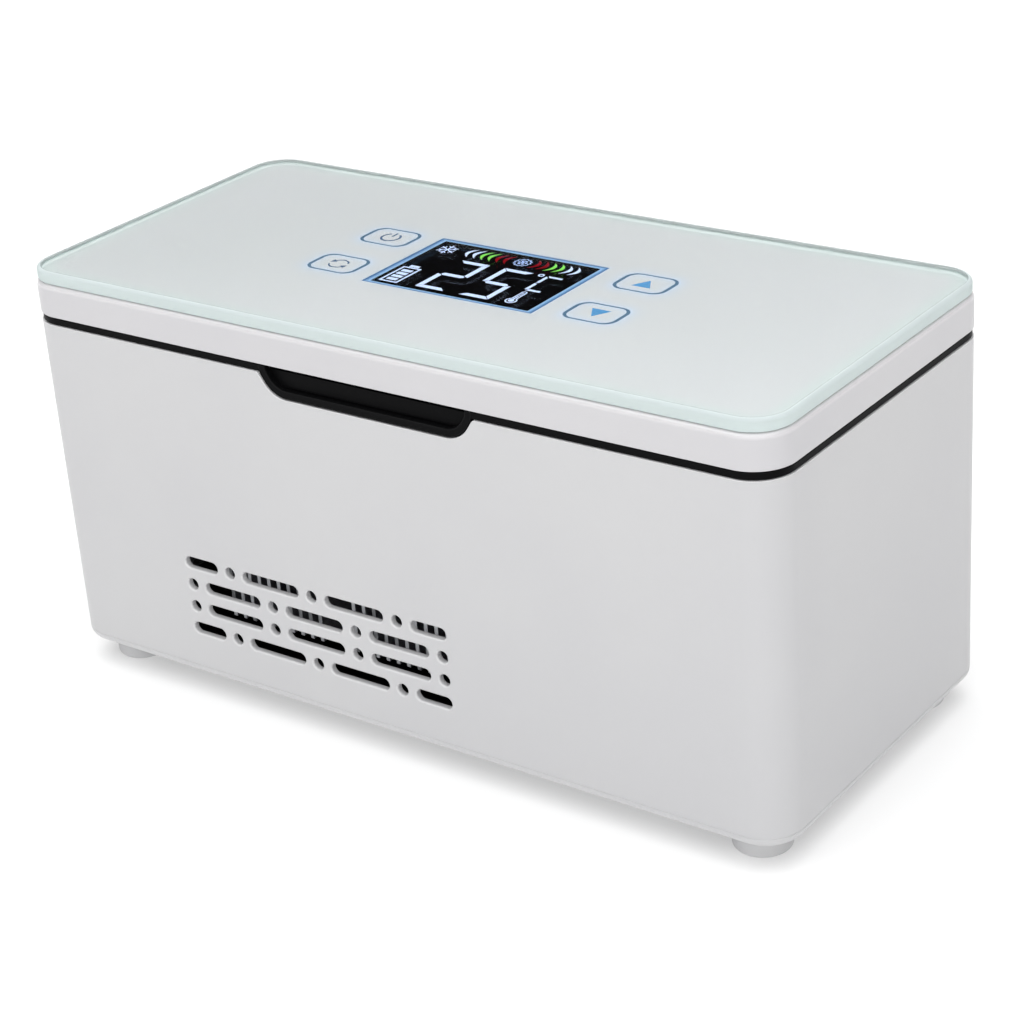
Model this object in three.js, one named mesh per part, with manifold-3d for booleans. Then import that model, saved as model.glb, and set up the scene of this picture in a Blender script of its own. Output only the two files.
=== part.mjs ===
// A powered cooling case for insulin pens: a rounded white box on four feet, with a hinged lid under a glass
// touch panel, a cold chamber in foam, and a thermoelectric cooler with two fans below it.
// Millimetres, +Z up, +X to the right of someone facing the front, +Y towards the hinged back.
// The origin is on the floor, under the middle of the case.
import * as THREE from 'three';
import { mergeVertices } from 'three/addons/utils/BufferGeometryUtils.js';
import Module from 'manifold-3d';

const wasm = await Module();
wasm.setup();

// Overall sizes
const caseLength = 245;
const caseDepth = 112;
const caseHeight = 102; // the lower case, from its underside to its top edge
const footHeight = 7.4;
const cornerRadius = 11.2; // the upright corners of case and lid
const wall = 2;
const caseEdge = 3; // rounding along the bottom edge
const seam = 0.3; // clearance between neighbouring pieces
const contact = 0.15; // bonded, greased or clamped joints
const overrun = 2; // how far a cutting tool runs past the face that it cuts

// Lid and the dark band under it
const bandHeight = 2.4;
const bandInset = 0.4;
const lidHeight = 9.7;
const lidEdge = 0.9; // rounding of the lid shell's outer edges
const lidDeckThickness = 2;
const glassThickness = 3.5;
const glassInset = 0.5;
const glassEdge = 1.5;

// Levels above the floor
const caseBottom = footHeight;
const caseTop = caseBottom + caseHeight;
const lidBottom = caseTop + bandHeight;
const frameTop = lidBottom - seam;
const frameBottom = caseTop + contact;

// Finger notch in the front edge
const notchTopWidth = 71.2;
const notchBottomWidth = 62.4;
const notchDepth = 6.7;
const notchCornerEase = 4.6;
const notchLip = 2.5; // dark border left around the pocket
const pocketDepth = 9;
const pocketWall = 1.8;

// Vent grille, one in the front wall and one in the back wall
const ventSlotHeight = 3.5;
const ventPitch = 29.8; // from dot to dot along a row
const ventRowPitch = 7.03;
const ventRows = 4;
const ventHalfWidth = 46.5;
const ventDotGap = 4.7; // from the middle of a dot to the end of the next slot
const ventEndInset = 148.1; // from the right end of the case to the middle of the grille
const ventLowestRow = 15.7; // above the underside of the case

// Chamber
const endInsulation = 24.5; // from the outside of the case to the chamber's mouth
const sideInsulation = 29;
const chamberDepth = 50;
const chamberCornerRadius = 8;
const linerWall = 1.5;
const linerOverhang = 0.6; // how far the frame's lip covers the liner's edge
const linerFlange = 5;
const linerEdge = 4; // rounding between the tub's floor and its walls, outside
const frameSkirtThickness = 1.6;
const frameSkirtDepth = 4;

// Thermoelectric cooler, two units side by side
const coolerEndInset = 146.4; // from the right end of the case to the middle between the coolers
const coolerPitch = 45.2;
const finCount = 10;
const finPitch = 3.6;
const finThickness = 1.2;
const finHeight = 18;
const heatsinkBase = 4;
const heatsinkFrontGap = 6; // from the inside of the case wall to the ends of the fins
const pelletSize = 30;
const pelletThickness = 3.6;
const coldBlockHeight = 6.5;
const deckThickness = 2;
const deckScrewSpan = 62; // from one clamping screw to the other, across the cooler
const deckRibShares = { alongFront: [-0.36, 0.2, 0.34], alongSide: [-0.2, 0.2] };

// Fans
const fanSize = 40;
const fanThickness = 10;
const fanCorner = 3;
const fanHoleSpacing = 32;
const fanDuctRadius = 18.7;
const rotorTipGap = 0.6;
const rotorHubRadius = 9;
const rotorHubWall = 1;
const rotorBlades = 7;
const rotorBladeThickness = 0.9;
const fanPlateThickness = 1.2;
const fanStrutWidth = 2.4;
const fanStruts = 4;
const shaftRadius = 1;
const bearingRadius = 2.6;

// Power
const cellRadius = 9.15;
const cellLength = 65;
const cellCount = 4;
const cellPitch = 19;
const cellNubRadius = 2.8;
const cellNubHeight = 1;
const holderWall = 1.6;
const holderHeight = 13;
const holderGap = 4; // from the right fan to the battery holder
const boardThickness = 1.6;
const boardHeight = 28; // the main board, above the bottom cover
const boardOverhang = 6; // past the ends of the battery holder
const boardSideGap = 6; // from the board to the long walls
const capacitorRadius = 3;
const deckClearance = 1; // from the tallest part on the board to the cooler deck
const socketEndInset = 17.5; // between the cover's screw boss and the rounded corner
const socketHeight = 15; // its axis, above the underside of the case
const socketRadius = 4;
const socketBore = 3.15;
const socketPin = 1;
const socketLength = 11.5;
const socketBody = 10.5;

// Bottom cover, feet and fasteners
const coverInset = 5;
const coverThickness = 2.5;
const footRadius = 8;
const footEdge = 2.4;
const footInset = 14; // from the outside of the case to the middle of a foot
const footSpigotRadius = 3;
const footSpigotHeight = 2;
const postRadius = 2.5;
const bossRadius = 3.5;
const bossHeight = 10;
const bossEndInset = 27.5; // from the outside of the case's ends to the middle of a boss
const bossInset = 8; // from the outside of its long walls
const ribThickness = 2;
const ribDepth = 3;
const screwRadius = 1.25;
const screwHeadRadius = 2.6;
const screwHeadHeight = 1.4;
const screwLength = 8;

// Hinges
const hingeEndInset = 52.5; // from the case's end to the middle of a hinge
const hingeLength = 30;
const knuckleRadius = 3;
const lidKnuckleLength = 13.4;
const hingeInset = 0.6; // from the back face to the hinge axis
const hingePinRadius = 1.1;
const gussetHeight = 8;

// Lid contents
const linerPlate = 2.6;
const plugDepth = 10;
const plugGap = 1.5;
const plugWall = 2;
const gasketWidth = 4;
const gasketDepth = 1.6;
const gasketProud = 0.15;
const gasketMargin = 4; // from the chamber's mouth to the gasket
const lidBossEndInset = 14.5;
const lidBossInset = 16;
const magnetLength = 20;
const magnetWidth = 5;
const magnetThickness = 1.5;
const catchThickness = 1;
const panelWindowLength = 134; // the hole in the lid's deck for the electronics
const panelWindowWidth = 58;
const displayLength = 51;
const displayWidth = 33.8;
const displayThickness = 2.6;
const displayBorder = 2.1;
const touchBoardThickness = 1.2;
const keyLength = 15.6;
const keyWidth = 11;
const keyThickness = 0.7;
const keyX = 43;
const keyY = 12;
const keyCorner = 3.2;

// Steps of the round forms: an outline's arc has twice its count, a turned piece has it per turn
const cornerSteps = 2;
const easeSteps = 4;
const edgeSteps = 2;
const slotSteps = 2;
const dotSteps = 3;
const barrelSteps = 5;
const pinSteps = 4;
const turnSteps = 16;
const screwSteps = 8;
const weld = 1e-4;

// Levels inside, from the chamber's floor down to the fans
const linerFloor = caseTop - chamberDepth;
const coldBlockTop = linerFloor - linerWall - contact;
const pelletTop = coldBlockTop - coldBlockHeight - contact;
const heatsinkTop = pelletTop - pelletThickness - contact;
const deckBottom = heatsinkTop + seam;
const deckTop = deckBottom + deckThickness;
const fanTop = heatsinkTop - heatsinkBase - finHeight - seam;
const fanBottom = fanTop - fanThickness;
const coverTop = caseBottom + coverThickness;
const coverScrewSeat = caseBottom + screwHeadHeight;

// Places that several pieces share
const frontY = -caseDepth / 2;
const backY = caseDepth / 2;
const innerLength = caseLength - 2 * wall;
const innerDepth = caseDepth - 2 * wall;
const chamberLength = caseLength - 2 * endInsulation;
const chamberWidth = caseDepth - 2 * sideInsulation;
const footX = caseLength / 2 - footInset;
const footY = caseDepth / 2 - footInset;
const bossX = caseLength / 2 - bossEndInset;
const bossY = caseDepth / 2 - bossInset;
const lidBossX = caseLength / 2 - lidBossEndInset;
const lidBossY = caseDepth / 2 - lidBossInset;
const heatsinkWidth = (finCount - 1) * finPitch + finThickness;
const heatsinkLength = innerDepth - 2 * heatsinkFrontGap;
const ventCentreX = caseLength / 2 - ventEndInset;
const coolerCentreX = caseLength / 2 - coolerEndInset;
const coolerX = [coolerCentreX - coolerPitch / 2, coolerCentreX + coolerPitch / 2];
const coolerSides = ['left', 'right'];
const hingeY = backY - hingeInset;
const hingeZ = (caseTop + lidBottom) / 2;
const holderLength = cellLength + cellNubHeight + 2 * (holderWall + seam);
const holderWidth = (cellCount - 1) * cellPitch + 2 * (cellRadius + seam + holderWall);
const holderLeft = coolerX[1] + fanSize / 2 + holderGap;
const powerX = holderLeft + holderLength / 2;
const boardLength = holderLength + 2 * boardOverhang;
const boardWidth = innerDepth - 2 * boardSideGap;
const socketX = caseLength / 2 - socketEndInset;
const mouthLength = chamberLength + 2 * gasketMargin;
const mouthWidth = chamberWidth + 2 * gasketMargin;
const notchFloor = caseTop - notchDepth;
const pocketBack = frontY + bandInset + pocketDepth;
const catchY = (pocketBack - chamberWidth / 2 - gasketMargin - gasketWidth) / 2;

// Shapes

function roundedRectangle(length, width, radius) {
  const x = length / 2;
  const y = width / 2;
  const shape = new THREE.Shape();
  shape.moveTo(radius - x, -y);
  shape.absarc(x - radius, radius - y, radius, -Math.PI / 2, 0);
  shape.absarc(x - radius, y - radius, radius, 0, Math.PI / 2);
  shape.absarc(radius - x, y - radius, radius, Math.PI / 2, Math.PI);
  shape.absarc(radius - x, radius - y, radius, Math.PI, 1.5 * Math.PI);
  return shape;
}

function circle(radius, x = 0, y = 0) {
  return new THREE.Shape().absarc(x, y, radius, 0, 2 * Math.PI);
}

// The case's plan, drawn in by an inset on every side
function casePlan(inset) {
  return roundedRectangle(caseLength - 2 * inset, caseDepth - 2 * inset, cornerRadius - inset);
}

// A slot with round ends, lying along its first axis
function stadium(from, to, middle, height) {
  const radius = height / 2;
  const shape = new THREE.Shape();
  shape.absarc(to - radius, middle, radius, -Math.PI / 2, Math.PI / 2);
  shape.absarc(from + radius, middle, radius, Math.PI / 2, 1.5 * Math.PI);
  return shape;
}

// A closed outline through corners [x, y, ease]; a corner with an ease is rounded over that distance
function easedOutline(corners) {
  const shape = new THREE.Shape();
  corners.forEach(([x, y, ease = 0], i) => {
    const [beforeX, beforeY] = corners.at(i - 1);
    const [afterX, afterY] = corners[(i + 1) % corners.length];
    const corner = new THREE.Vector2(x, y);
    const start = new THREE.Vector2(beforeX, beforeY).sub(corner).setLength(ease).add(corner);
    const end = new THREE.Vector2(afterX, afterY).sub(corner).setLength(ease).add(corner);
    if (i === 0) shape.moveTo(start.x, start.y);
    else shape.lineTo(start.x, start.y);
    if (ease > 0) shape.quadraticCurveTo(x, y, end.x, end.y);
  });
  return shape;
}

// Solids

function solid(geometry) {
  const bare = geometry.index ? geometry.toNonIndexed() : geometry.clone();
  bare.deleteAttribute('normal');
  bare.deleteAttribute('uv');
  const merged = mergeVertices(bare, weld);
  return new wasm.Manifold(new wasm.Mesh({
    numProp: 3,
    vertProperties: merged.attributes.position.array,
    triVerts: new Uint32Array(merged.index.array),
  }));
}

function join(...pieces) {
  return pieces.flat().reduce((whole, piece) => whole.add(piece));
}

function cut(body, ...tools) {
  return tools.flat().reduce((rest, tool) => rest.subtract(tool), body);
}

const axisX = new THREE.Vector3(1, 0, 0);
const axisY = new THREE.Vector3(0, 1, 0);
const axisZ = new THREE.Vector3(0, 0, 1);
const alongY = new THREE.Matrix4().makeBasis(axisX, axisZ, axisY.clone().negate());
const alongX = new THREE.Matrix4().makeBasis(axisY, axisZ, axisX);

function extrude(shapes, length, curveSegments) {
  return new THREE.ExtrudeGeometry(shapes, { depth: length, bevelEnabled: false, curveSegments });
}

// An outline in X and Y, raised from one level to another
function upright(shapes, from, to, steps = cornerSteps) {
  return solid(extrude(shapes, to - from, steps).translate(0, 0, from));
}

// An outline in X and Z, carried from front to back
function fromFront(shapes, from, to, steps = cornerSteps) {
  return solid(extrude(shapes, to - from, steps).applyMatrix4(alongY).translate(0, to, 0));
}

// An outline in Y and Z, carried from left to right
function fromLeft(shapes, from, to, steps = cornerSteps) {
  return solid(extrude(shapes, to - from, steps).applyMatrix4(alongX).translate(from, 0, 0));
}

function block(length, width, from, to, x = 0, y = 0) {
  return solid(new THREE.BoxGeometry(length, width, to - from).translate(x, y, (from + to) / 2));
}

function rod(radius, from, to, x = 0, y = 0, steps = turnSteps) {
  const standing = new THREE.CylinderGeometry(radius, radius, to - from, steps).rotateX(Math.PI / 2);
  return solid(standing.translate(x, y, (from + to) / 2));
}

// A rounded slab whose top and bottom edges are rounded too
function pillow(length, width, radius, from, to, edge) {
  const geometry = new THREE.ExtrudeGeometry(roundedRectangle(length, width, radius), {
    depth: to - from - 2 * edge,
    bevelThickness: edge,
    bevelSize: edge,
    bevelOffset: -edge,
    bevelSegments: edgeSteps,
    curveSegments: cornerSteps,
  });
  return solid(geometry.translate(0, 0, from + edge));
}

// A profile of [radius, height] points, from the axis round to the axis again, turned about Z
function turned(profile, steps = turnSteps) {
  const points = profile.map(([radius, height]) => new THREE.Vector2(radius, height));
  return solid(new THREE.LatheGeometry(points, steps).rotateX(Math.PI / 2));
}

// Points of a quarter arc about a centre, from one angle to another
function arc(centreR, centreZ, radius, from, to, steps = edgeSteps) {
  return Array.from({ length: steps + 1 }, (_, i) => {
    const angle = from + ((to - from) * i) / steps;
    return [centreR + radius * Math.cos(angle), centreZ + radius * Math.sin(angle)];
  });
}

function corners(x, y) {
  return [[-x, -y], [x, -y], [x, y], [-x, y]];
}

const cornerNames = ['front_left', 'front_right', 'back_right', 'back_left'];

// Materials

function material(color, roughness, metalness = 0) {
  return new THREE.MeshStandardMaterial({ color, roughness, metalness });
}

const whitePlastic = material(0xe4e4e6, 0.35);
const lidPlastic = material(0xe8e7ea, 0.3);
const blackPlastic = material(0x1f1f21, 0.5);
const frostedGlass = material(0xdfeaea, 0.12);
const footPlastic = material(0xd2d3d4, 0.6);
const aluminium = material(0xb9bcc0, 0.4, 0.9);
const steel = material(0xc4c6c8, 0.35, 1);
const foamGrey = material(0xd9d7d0, 0.95);
const ceramic = material(0xefefea, 0.6);
const rubberBlack = material(0x161617, 0.85);
const boardGreen = material(0x1f5a3a, 0.6);
const cellBlue = material(0x2f6fb2, 0.45);
const displayBlack = material(0x07080c, 0.2);
const keyBlue = material(0x8fc4e8, 0.5);

// The outlines that the front notch is cut to and that the frame's pocket follows

function notchOutline(margin, top) {
  const half = notchTopWidth / 2 - margin;
  const floorHalf = notchBottomWidth / 2 - margin;
  const floor = notchFloor + margin;
  return easedOutline([
    [-half, top],
    [-half, caseTop],
    [-floorHalf, floor, notchCornerEase],
    [floorHalf, floor, notchCornerEase],
    [half, caseTop],
    [half, top],
  ]);
}

// Vent slots and dots: rows alternate like bricks, and a row that starts with a slot is closed by one
function ventTools(from, to) {
  const slots = [];
  const dots = [];
  for (let row = 0; row < ventRows; row += 1) {
    const z = caseBottom + ventLowestRow + row * ventRowPitch;
    const outer = row === 0 || row === ventRows - 1;
    const dotShares = outer ? [-1, 0, 1] : [-1.5, -0.5, 0.5, 1.5];
    const dotX = dotShares.map((share) => ventCentreX + share * ventPitch);
    dots.push(...dotX.map((x) => circle(ventSlotHeight / 2, x, z)));
    const starts = dotX.map((x) => x + ventDotGap);
    const ends = dotX.map((x) => x - ventDotGap);
    if (outer) {
      starts.unshift(ventCentreX - ventHalfWidth);
      ends.push(ventCentreX + ventHalfWidth);
    } else {
      starts.pop();
      ends.shift();
    }
    slots.push(...starts.map((start, i) => stadium(start, ends[i], z, ventSlotHeight)));
  }
  return [fromFront(slots, from, to, slotSteps), fromFront(dots, from, to, dotSteps)];
}

// Hinge knuckles: one barrel and the web that carries it down the case or up the lid
function knuckle(from, to, webHeight) {
  const barrel = fromLeft(circle(knuckleRadius, hingeY, hingeZ), from, to, barrelSteps);
  const inside = backY - wall / 2;
  const web = easedOutline([
    [inside, hingeZ],
    [inside, hingeZ + webHeight],
    [backY, hingeZ + webHeight],
    [hingeY + knuckleRadius, hingeZ],
  ]);
  return join(barrel, fromLeft(web, from, to));
}

function hingeSpan(x, length, radius) {
  return fromLeft(circle(radius, hingeY, hingeZ), x - length / 2, x + length / 2, barrelSteps);
}

const hingeX = [hingeEndInset - caseLength / 2, caseLength / 2 - hingeEndInset];

function outerCase() {
  const shell = pillow(caseLength, caseDepth, cornerRadius, caseBottom, caseTop + 2 * caseEdge, caseEdge);
  const above = block(2 * caseLength, 2 * caseDepth, caseTop, caseTop + 2 * caseEdge + overrun);
  const hollow = upright(casePlan(wall), coverTop, caseTop + overrun);
  const coverHole = upright(casePlan(coverInset), caseBottom - overrun, coverTop + overrun);
  const notch = fromFront(
    notchOutline(0, caseTop + overrun),
    frontY - overrun,
    frontY + wall + overrun,
    easeSteps,
  );
  const vents = [
    ventTools(frontY - overrun, frontY + wall + overrun),
    ventTools(backY - wall - overrun, backY + overrun),
  ];
  const socketHole = fromFront(
    circle(socketRadius + seam, socketX, caseBottom + socketHeight),
    backY - wall - overrun,
    backY + overrun,
    barrelSteps,
  );
  const knuckles = hingeX.flatMap((x) => {
    const half = lidKnuckleLength / 2 + seam;
    const end = hingeLength / 2;
    return [knuckle(x - end, x - half, -gussetHeight), knuckle(x + half, x + end, -gussetHeight)];
  });
  const lidSweep = hingeX.map((x) => hingeSpan(x, lidKnuckleLength + 2 * seam, knuckleRadius + seam));
  const pinHoles = hingeX.map((x) => hingeSpan(x, hingeLength + overrun, hingePinRadius + contact));
  const open = cut(shell, above, hollow, coverHole, notch, ...vents, socketHole, ...lidSweep);
  return cut(join(open, knuckles, caseBosses(), deckRibs()), ...bossHoles(), ...pinHoles);
}

// Screw bosses inside the long walls, each with a rib that ties it to its wall
function caseBosses() {
  const from = coverTop + seam;
  const to = from + bossHeight;
  return corners(bossX, bossY).flatMap(([x, y]) => {
    const side = Math.sign(y);
    const reach = innerDepth / 2 + wall / 2 - bossY;
    return [
      rod(bossRadius, from, to, x, y, screwSteps),
      block(ribThickness, reach, from, to, x, side * (bossY + reach / 2)),
    ];
  });
}

function bossHoles() {
  const from = coverTop;
  const to = coverTop + bossHeight;
  return corners(bossX, bossY).map(([x, y]) => rod(screwRadius + contact, from, to, x, y, screwSteps));
}

// Upright ribs that the cooler deck stands on, clear of the vents
function deckRibs() {
  const top = deckBottom - seam;
  const reach = ribDepth + wall / 2;
  const onLongWalls = deckRibShares.alongFront.flatMap((share) => {
    const y = innerDepth / 2 - ribDepth + reach / 2;
    return [-1, 1].map((side) => block(ribThickness, reach, coverTop, top, share * caseLength, side * y));
  });
  const onSideWalls = deckRibShares.alongSide.flatMap((share) => {
    const x = innerLength / 2 - ribDepth + reach / 2;
    return [-1, 1].map((side) => block(reach, ribThickness, coverTop, top, side * x, share * caseDepth));
  });
  return [...onLongWalls, ...onSideWalls];
}

// The dark moulding between case and lid: a flat frame round the chamber's mouth, a skirt inside the case
// wall, and the finger pocket that shows through the notch
function rimFrame() {
  const plate = upright(casePlan(bandInset), frameBottom, frameTop);
  const skirtBottom = frameBottom - frameSkirtDepth;
  const skirt = cut(
    upright(casePlan(wall + seam), skirtBottom, frameTop),
    upright(casePlan(wall + seam + frameSkirtThickness), skirtBottom - overrun, frameBottom),
  );
  const scoopOutline = notchOutline(seam, frameTop);
  const scoop = fromFront(scoopOutline, frontY + bandInset, pocketBack + pocketWall, easeSteps);
  const pocketOutline = notchOutline(notchLip, frameTop + overrun);
  const pocket = fromFront(pocketOutline, frontY - overrun, pocketBack, easeSteps);
  const mouth = upright(
    roundedRectangle(chamberLength, chamberWidth, chamberCornerRadius),
    frameBottom - overrun,
    frameTop + overrun,
  );
  const hingeReach = 2 * (knuckleRadius + seam + hingeInset);
  const hingeRoom = hingeX.map((x) => (
    block(hingeLength + 2 * seam, hingeReach, skirtBottom - overrun, frameTop + overrun, x, backY)
  ));
  const catchSeat = block(
    magnetLength + 2 * seam,
    magnetWidth + 2 * seam,
    frameTop - catchThickness - contact,
    frameTop + overrun,
    0,
    catchY,
  );
  return cut(join(plate, skirt, scoop), pocket, mouth, ...hingeRoom, catchSeat);
}

function catchPlate() {
  return block(magnetLength, magnetWidth, frameTop - catchThickness, frameTop, 0, catchY);
}

const linerLength = chamberLength + 2 * linerOverhang;
const linerWidth = chamberWidth + 2 * linerOverhang;
const linerRadius = chamberCornerRadius + linerOverhang;

// The aluminium tub that the pens lie in, hung by its flange
function chamberLiner() {
  const outerLength = linerLength + 2 * linerWall;
  const outerWidth = linerWidth + 2 * linerWall;
  const tubBottom = linerFloor - linerWall;
  const over = caseTop + 2 * linerEdge;
  const tub = pillow(outerLength, outerWidth, linerRadius + linerWall, tubBottom, over, linerEdge);
  const above = block(caseLength, caseDepth, caseTop, over + overrun);
  const flange = upright(
    roundedRectangle(outerLength + 2 * linerFlange, outerWidth + 2 * linerFlange, linerRadius + linerFlange),
    caseTop - linerWall,
    caseTop,
  );
  const inside = pillow(linerLength, linerWidth, linerRadius, linerFloor, over, linerEdge - linerWall);
  return cut(join(tub, flange), above, inside);
}

// Insulation round the tub, with windows for the cold blocks and the probe, and a step for the frame's skirt
function foamJacket() {
  const gap = 2 * seam;
  const step = frameBottom - frameSkirtDepth - seam;
  const lower = upright(casePlan(wall + seam), deckTop + seam, step);
  const insideSkirt = casePlan(wall + frameSkirtThickness + 2 * seam);
  const upper = upright(insideSkirt, step - overrun, caseTop - linerWall - seam);
  const tubLength = linerLength + 2 * (linerWall + seam);
  const tubWidth = linerWidth + 2 * (linerWall + seam);
  const tub = upright(
    roundedRectangle(tubLength, tubWidth, linerRadius + linerWall),
    linerFloor - linerWall - seam,
    caseTop + overrun,
  );
  const blocks = coolerX.map((x) => block(pelletSize + gap, pelletSize + gap, deckTop, linerFloor, x));
  const heads = coolerX.flatMap((x) => [-1, 1].map((side) => {
    const y = (side * deckScrewSpan) / 2;
    return rod(screwHeadRadius + seam, deckTop, deckTop + screwHeadHeight + 2 * seam, x, y, screwSteps);
  }));
  const scoopRoom = block(
    notchTopWidth + gap,
    2 * (pocketBack + pocketWall + seam - frontY),
    notchFloor - seam,
    caseTop + overrun,
    0,
    frontY,
  );
  const probeRoom = block(
    probeLength + gap,
    2 * probeRadius + gap,
    linerFloor - linerWall - 2 * probeRadius - gap,
    linerFloor,
    probeX,
  );
  return cut(join(lower, upper), tub, ...blocks, ...heads, scoopRoom, probeRoom);
}

const probeRadius = 2;
const probeLength = 14;
const probeX = 60;

function temperatureProbe() {
  const z = linerFloor - linerWall - contact - probeRadius;
  return fromLeft(circle(probeRadius, 0, z), probeX - probeLength / 2, probeX + probeLength / 2, pinSteps);
}

// The plate between the insulation and the machine bay
function coolerDeck() {
  const window = pelletSize + 2 * seam;
  const plate = upright(casePlan(wall + seam), deckBottom, deckTop);
  const windows = coolerX.map((x) => block(window, window, deckBottom - overrun, deckTop + overrun, x));
  const holes = coolerX.flatMap((x) => [-1, 1].map((side) => {
    const y = (side * deckScrewSpan) / 2;
    return rod(screwRadius + contact, deckBottom - overrun, deckTop + overrun, x, y, screwSteps);
  }));
  return cut(plate, ...windows, ...holes);
}

// The pieces of one cooler, about its own upright axis

function coldBlock() {
  return block(pelletSize, pelletSize, coldBlockTop - coldBlockHeight, coldBlockTop);
}

function peltierModule() {
  const inner = pelletSize - 2 * linerWall;
  const plate = pelletThickness / 4;
  return join(
    block(pelletSize, pelletSize, pelletTop - plate, pelletTop),
    block(inner, inner, pelletTop - pelletThickness + plate / 2, pelletTop - plate / 2),
    block(pelletSize, pelletSize, pelletTop - pelletThickness, pelletTop - pelletThickness + plate),
  );
}

function heatsink() {
  const baseBottom = heatsinkTop - heatsinkBase;
  const comb = new THREE.Shape();
  const left = -heatsinkWidth / 2;
  comb.moveTo(left, heatsinkTop);
  for (let fin = 0; fin < finCount; fin += 1) {
    const x = left + fin * finPitch;
    comb.lineTo(x, baseBottom);
    comb.lineTo(x, baseBottom - finHeight);
    comb.lineTo(x + finThickness, baseBottom - finHeight);
    comb.lineTo(x + finThickness, baseBottom);
  }
  comb.lineTo(-left, heatsinkTop);
  const body = fromFront(comb, -heatsinkLength / 2, heatsinkLength / 2);
  const holes = [-1, 1].map((side) => {
    const y = (side * deckScrewSpan) / 2;
    return rod(screwRadius + contact, baseBottom + contact, heatsinkTop + overrun, 0, y, screwSteps);
  });
  return cut(body, ...holes);
}

function fanFrame() {
  const plate = upright(roundedRectangle(fanSize, fanSize, fanCorner), fanBottom, fanTop);
  const duct = rod(fanDuctRadius, fanBottom - overrun, fanTop + overrun);
  const holes = corners(fanHoleSpacing / 2, fanHoleSpacing / 2).map(([x, y]) => (
    rod(screwRadius + contact, fanBottom - overrun, fanTop + overrun, x, y, screwSteps)
  ));
  const hub = rod(rotorHubRadius, fanBottom, fanBottom + fanPlateThickness);
  const reach = fanDuctRadius + rotorTipGap;
  const struts = Array.from({ length: fanStruts }, (_, i) => {
    const strut = new THREE.BoxGeometry(reach, fanStrutWidth, fanPlateThickness);
    strut.translate(reach / 2, 0, fanBottom + fanPlateThickness / 2);
    return solid(strut.rotateZ(((i + 0.5) * 2 * Math.PI) / fanStruts));
  });
  const bearing = rod(bearingRadius, fanBottom, fanTop - 2 * rotorHubWall - seam, 0, 0, screwSteps);
  const boreBottom = fanBottom + fanPlateThickness / 2;
  const bore = rod(shaftRadius + contact, boreBottom, fanTop + overrun, 0, 0, screwSteps);
  return cut(join(cut(plate, duct, ...holes), hub, struts, bearing), bore);
}

// Seven pitched blades on a cup that turns on its shaft
function fanRotor() {
  const bottom = fanBottom + fanPlateThickness + seam;
  const top = fanTop - rotorHubWall;
  const cup = turned([
    [0, fanBottom + fanPlateThickness],
    [shaftRadius, fanBottom + fanPlateThickness],
    [shaftRadius, top - rotorHubWall],
    [rotorHubRadius - rotorHubWall, top - rotorHubWall],
    [rotorHubRadius - rotorHubWall, bottom],
    [rotorHubRadius, bottom],
    [rotorHubRadius, top],
    [0, top],
  ]);
  const tip = fanDuctRadius - rotorTipGap;
  const root = rotorHubRadius - rotorHubWall / 2;
  const bladeRise = top - bottom;
  const lean = bladeRise / 2;
  const half = rotorBladeThickness / 2;
  const section = easedOutline([
    [-lean - half, 0],
    [-lean + half, 0],
    [lean + half, bladeRise],
    [lean - half, bladeRise],
  ]);
  const blades = Array.from({ length: rotorBlades }, (_, i) => {
    const blade = extrude(section, tip - root, 1).applyMatrix4(alongX).translate(root, 0, bottom);
    return solid(blade.rotateZ((i * 2 * Math.PI) / rotorBlades));
  });
  const reachLimit = rod(tip, bottom, top, 0, 0, 2 * turnSteps);
  return join(cup, blades.map((blade) => blade.intersect(reachLimit)));
}

// A flat-headed screw: its head's underside is at height zero and its thread points up
function screw(length) {
  return turned([
    [0, -screwHeadHeight],
    [screwHeadRadius, -screwHeadHeight],
    [screwHeadRadius, 0],
    [screwRadius, 0],
    [screwRadius, length],
    [0, length],
  ], screwSteps);
}

// Power pieces

const cellZ = coverTop + seam + holderWall + contact + cellRadius;
const boardBottom = coverTop + boardHeight;
const boardPosts = corners((holderLength - holderWall) / 2 + postRadius, 1.5 * cellPitch);

// A tray for the cells, with a post at each corner that carries the main board
function batteryHolder() {
  const bottom = coverTop + seam;
  const tray = block(holderLength, holderWidth, bottom, bottom + holderHeight, powerX);
  const room = block(
    holderLength - 2 * holderWall,
    holderWidth - 2 * holderWall,
    bottom + holderWall,
    bottom + holderHeight + overrun,
    powerX,
  );
  const posts = boardPosts.flatMap(([x, y]) => [
    rod(postRadius, bottom, boardBottom - contact, powerX + x, y, screwSteps),
    rod(postRadius / 2, bottom, boardBottom + boardThickness, powerX + x, y, screwSteps),
  ]);
  return join(cut(tray, room), posts);
}

// A cell lies along X, with its raised contact towards positive X
function batteryCell() {
  return turned([
    [0, 0],
    [cellRadius, 0],
    [cellRadius, cellLength - cellNubHeight],
    [cellRadius - cellNubHeight, cellLength],
    [cellNubRadius, cellLength],
    [cellNubRadius, cellLength + cellNubHeight],
    [0, cellLength + cellNubHeight],
  ]);
}

// Choke, power chip, controller and connector: place along and across, length, width and height
const boardPartShares = [
  [-0.2, 0.2, 0.2, 0.2, 1],
  [0.05, 0.2, 0.12, 0.16, 0.4],
  [0.14, -0.04, 0.16, 0.16, 0.25],
  [0.36, -0.16, 0.08, 0.28, 0.6],
];
const capacitorPlaceShares = [-0.32, -0.22, -0.12];

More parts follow.
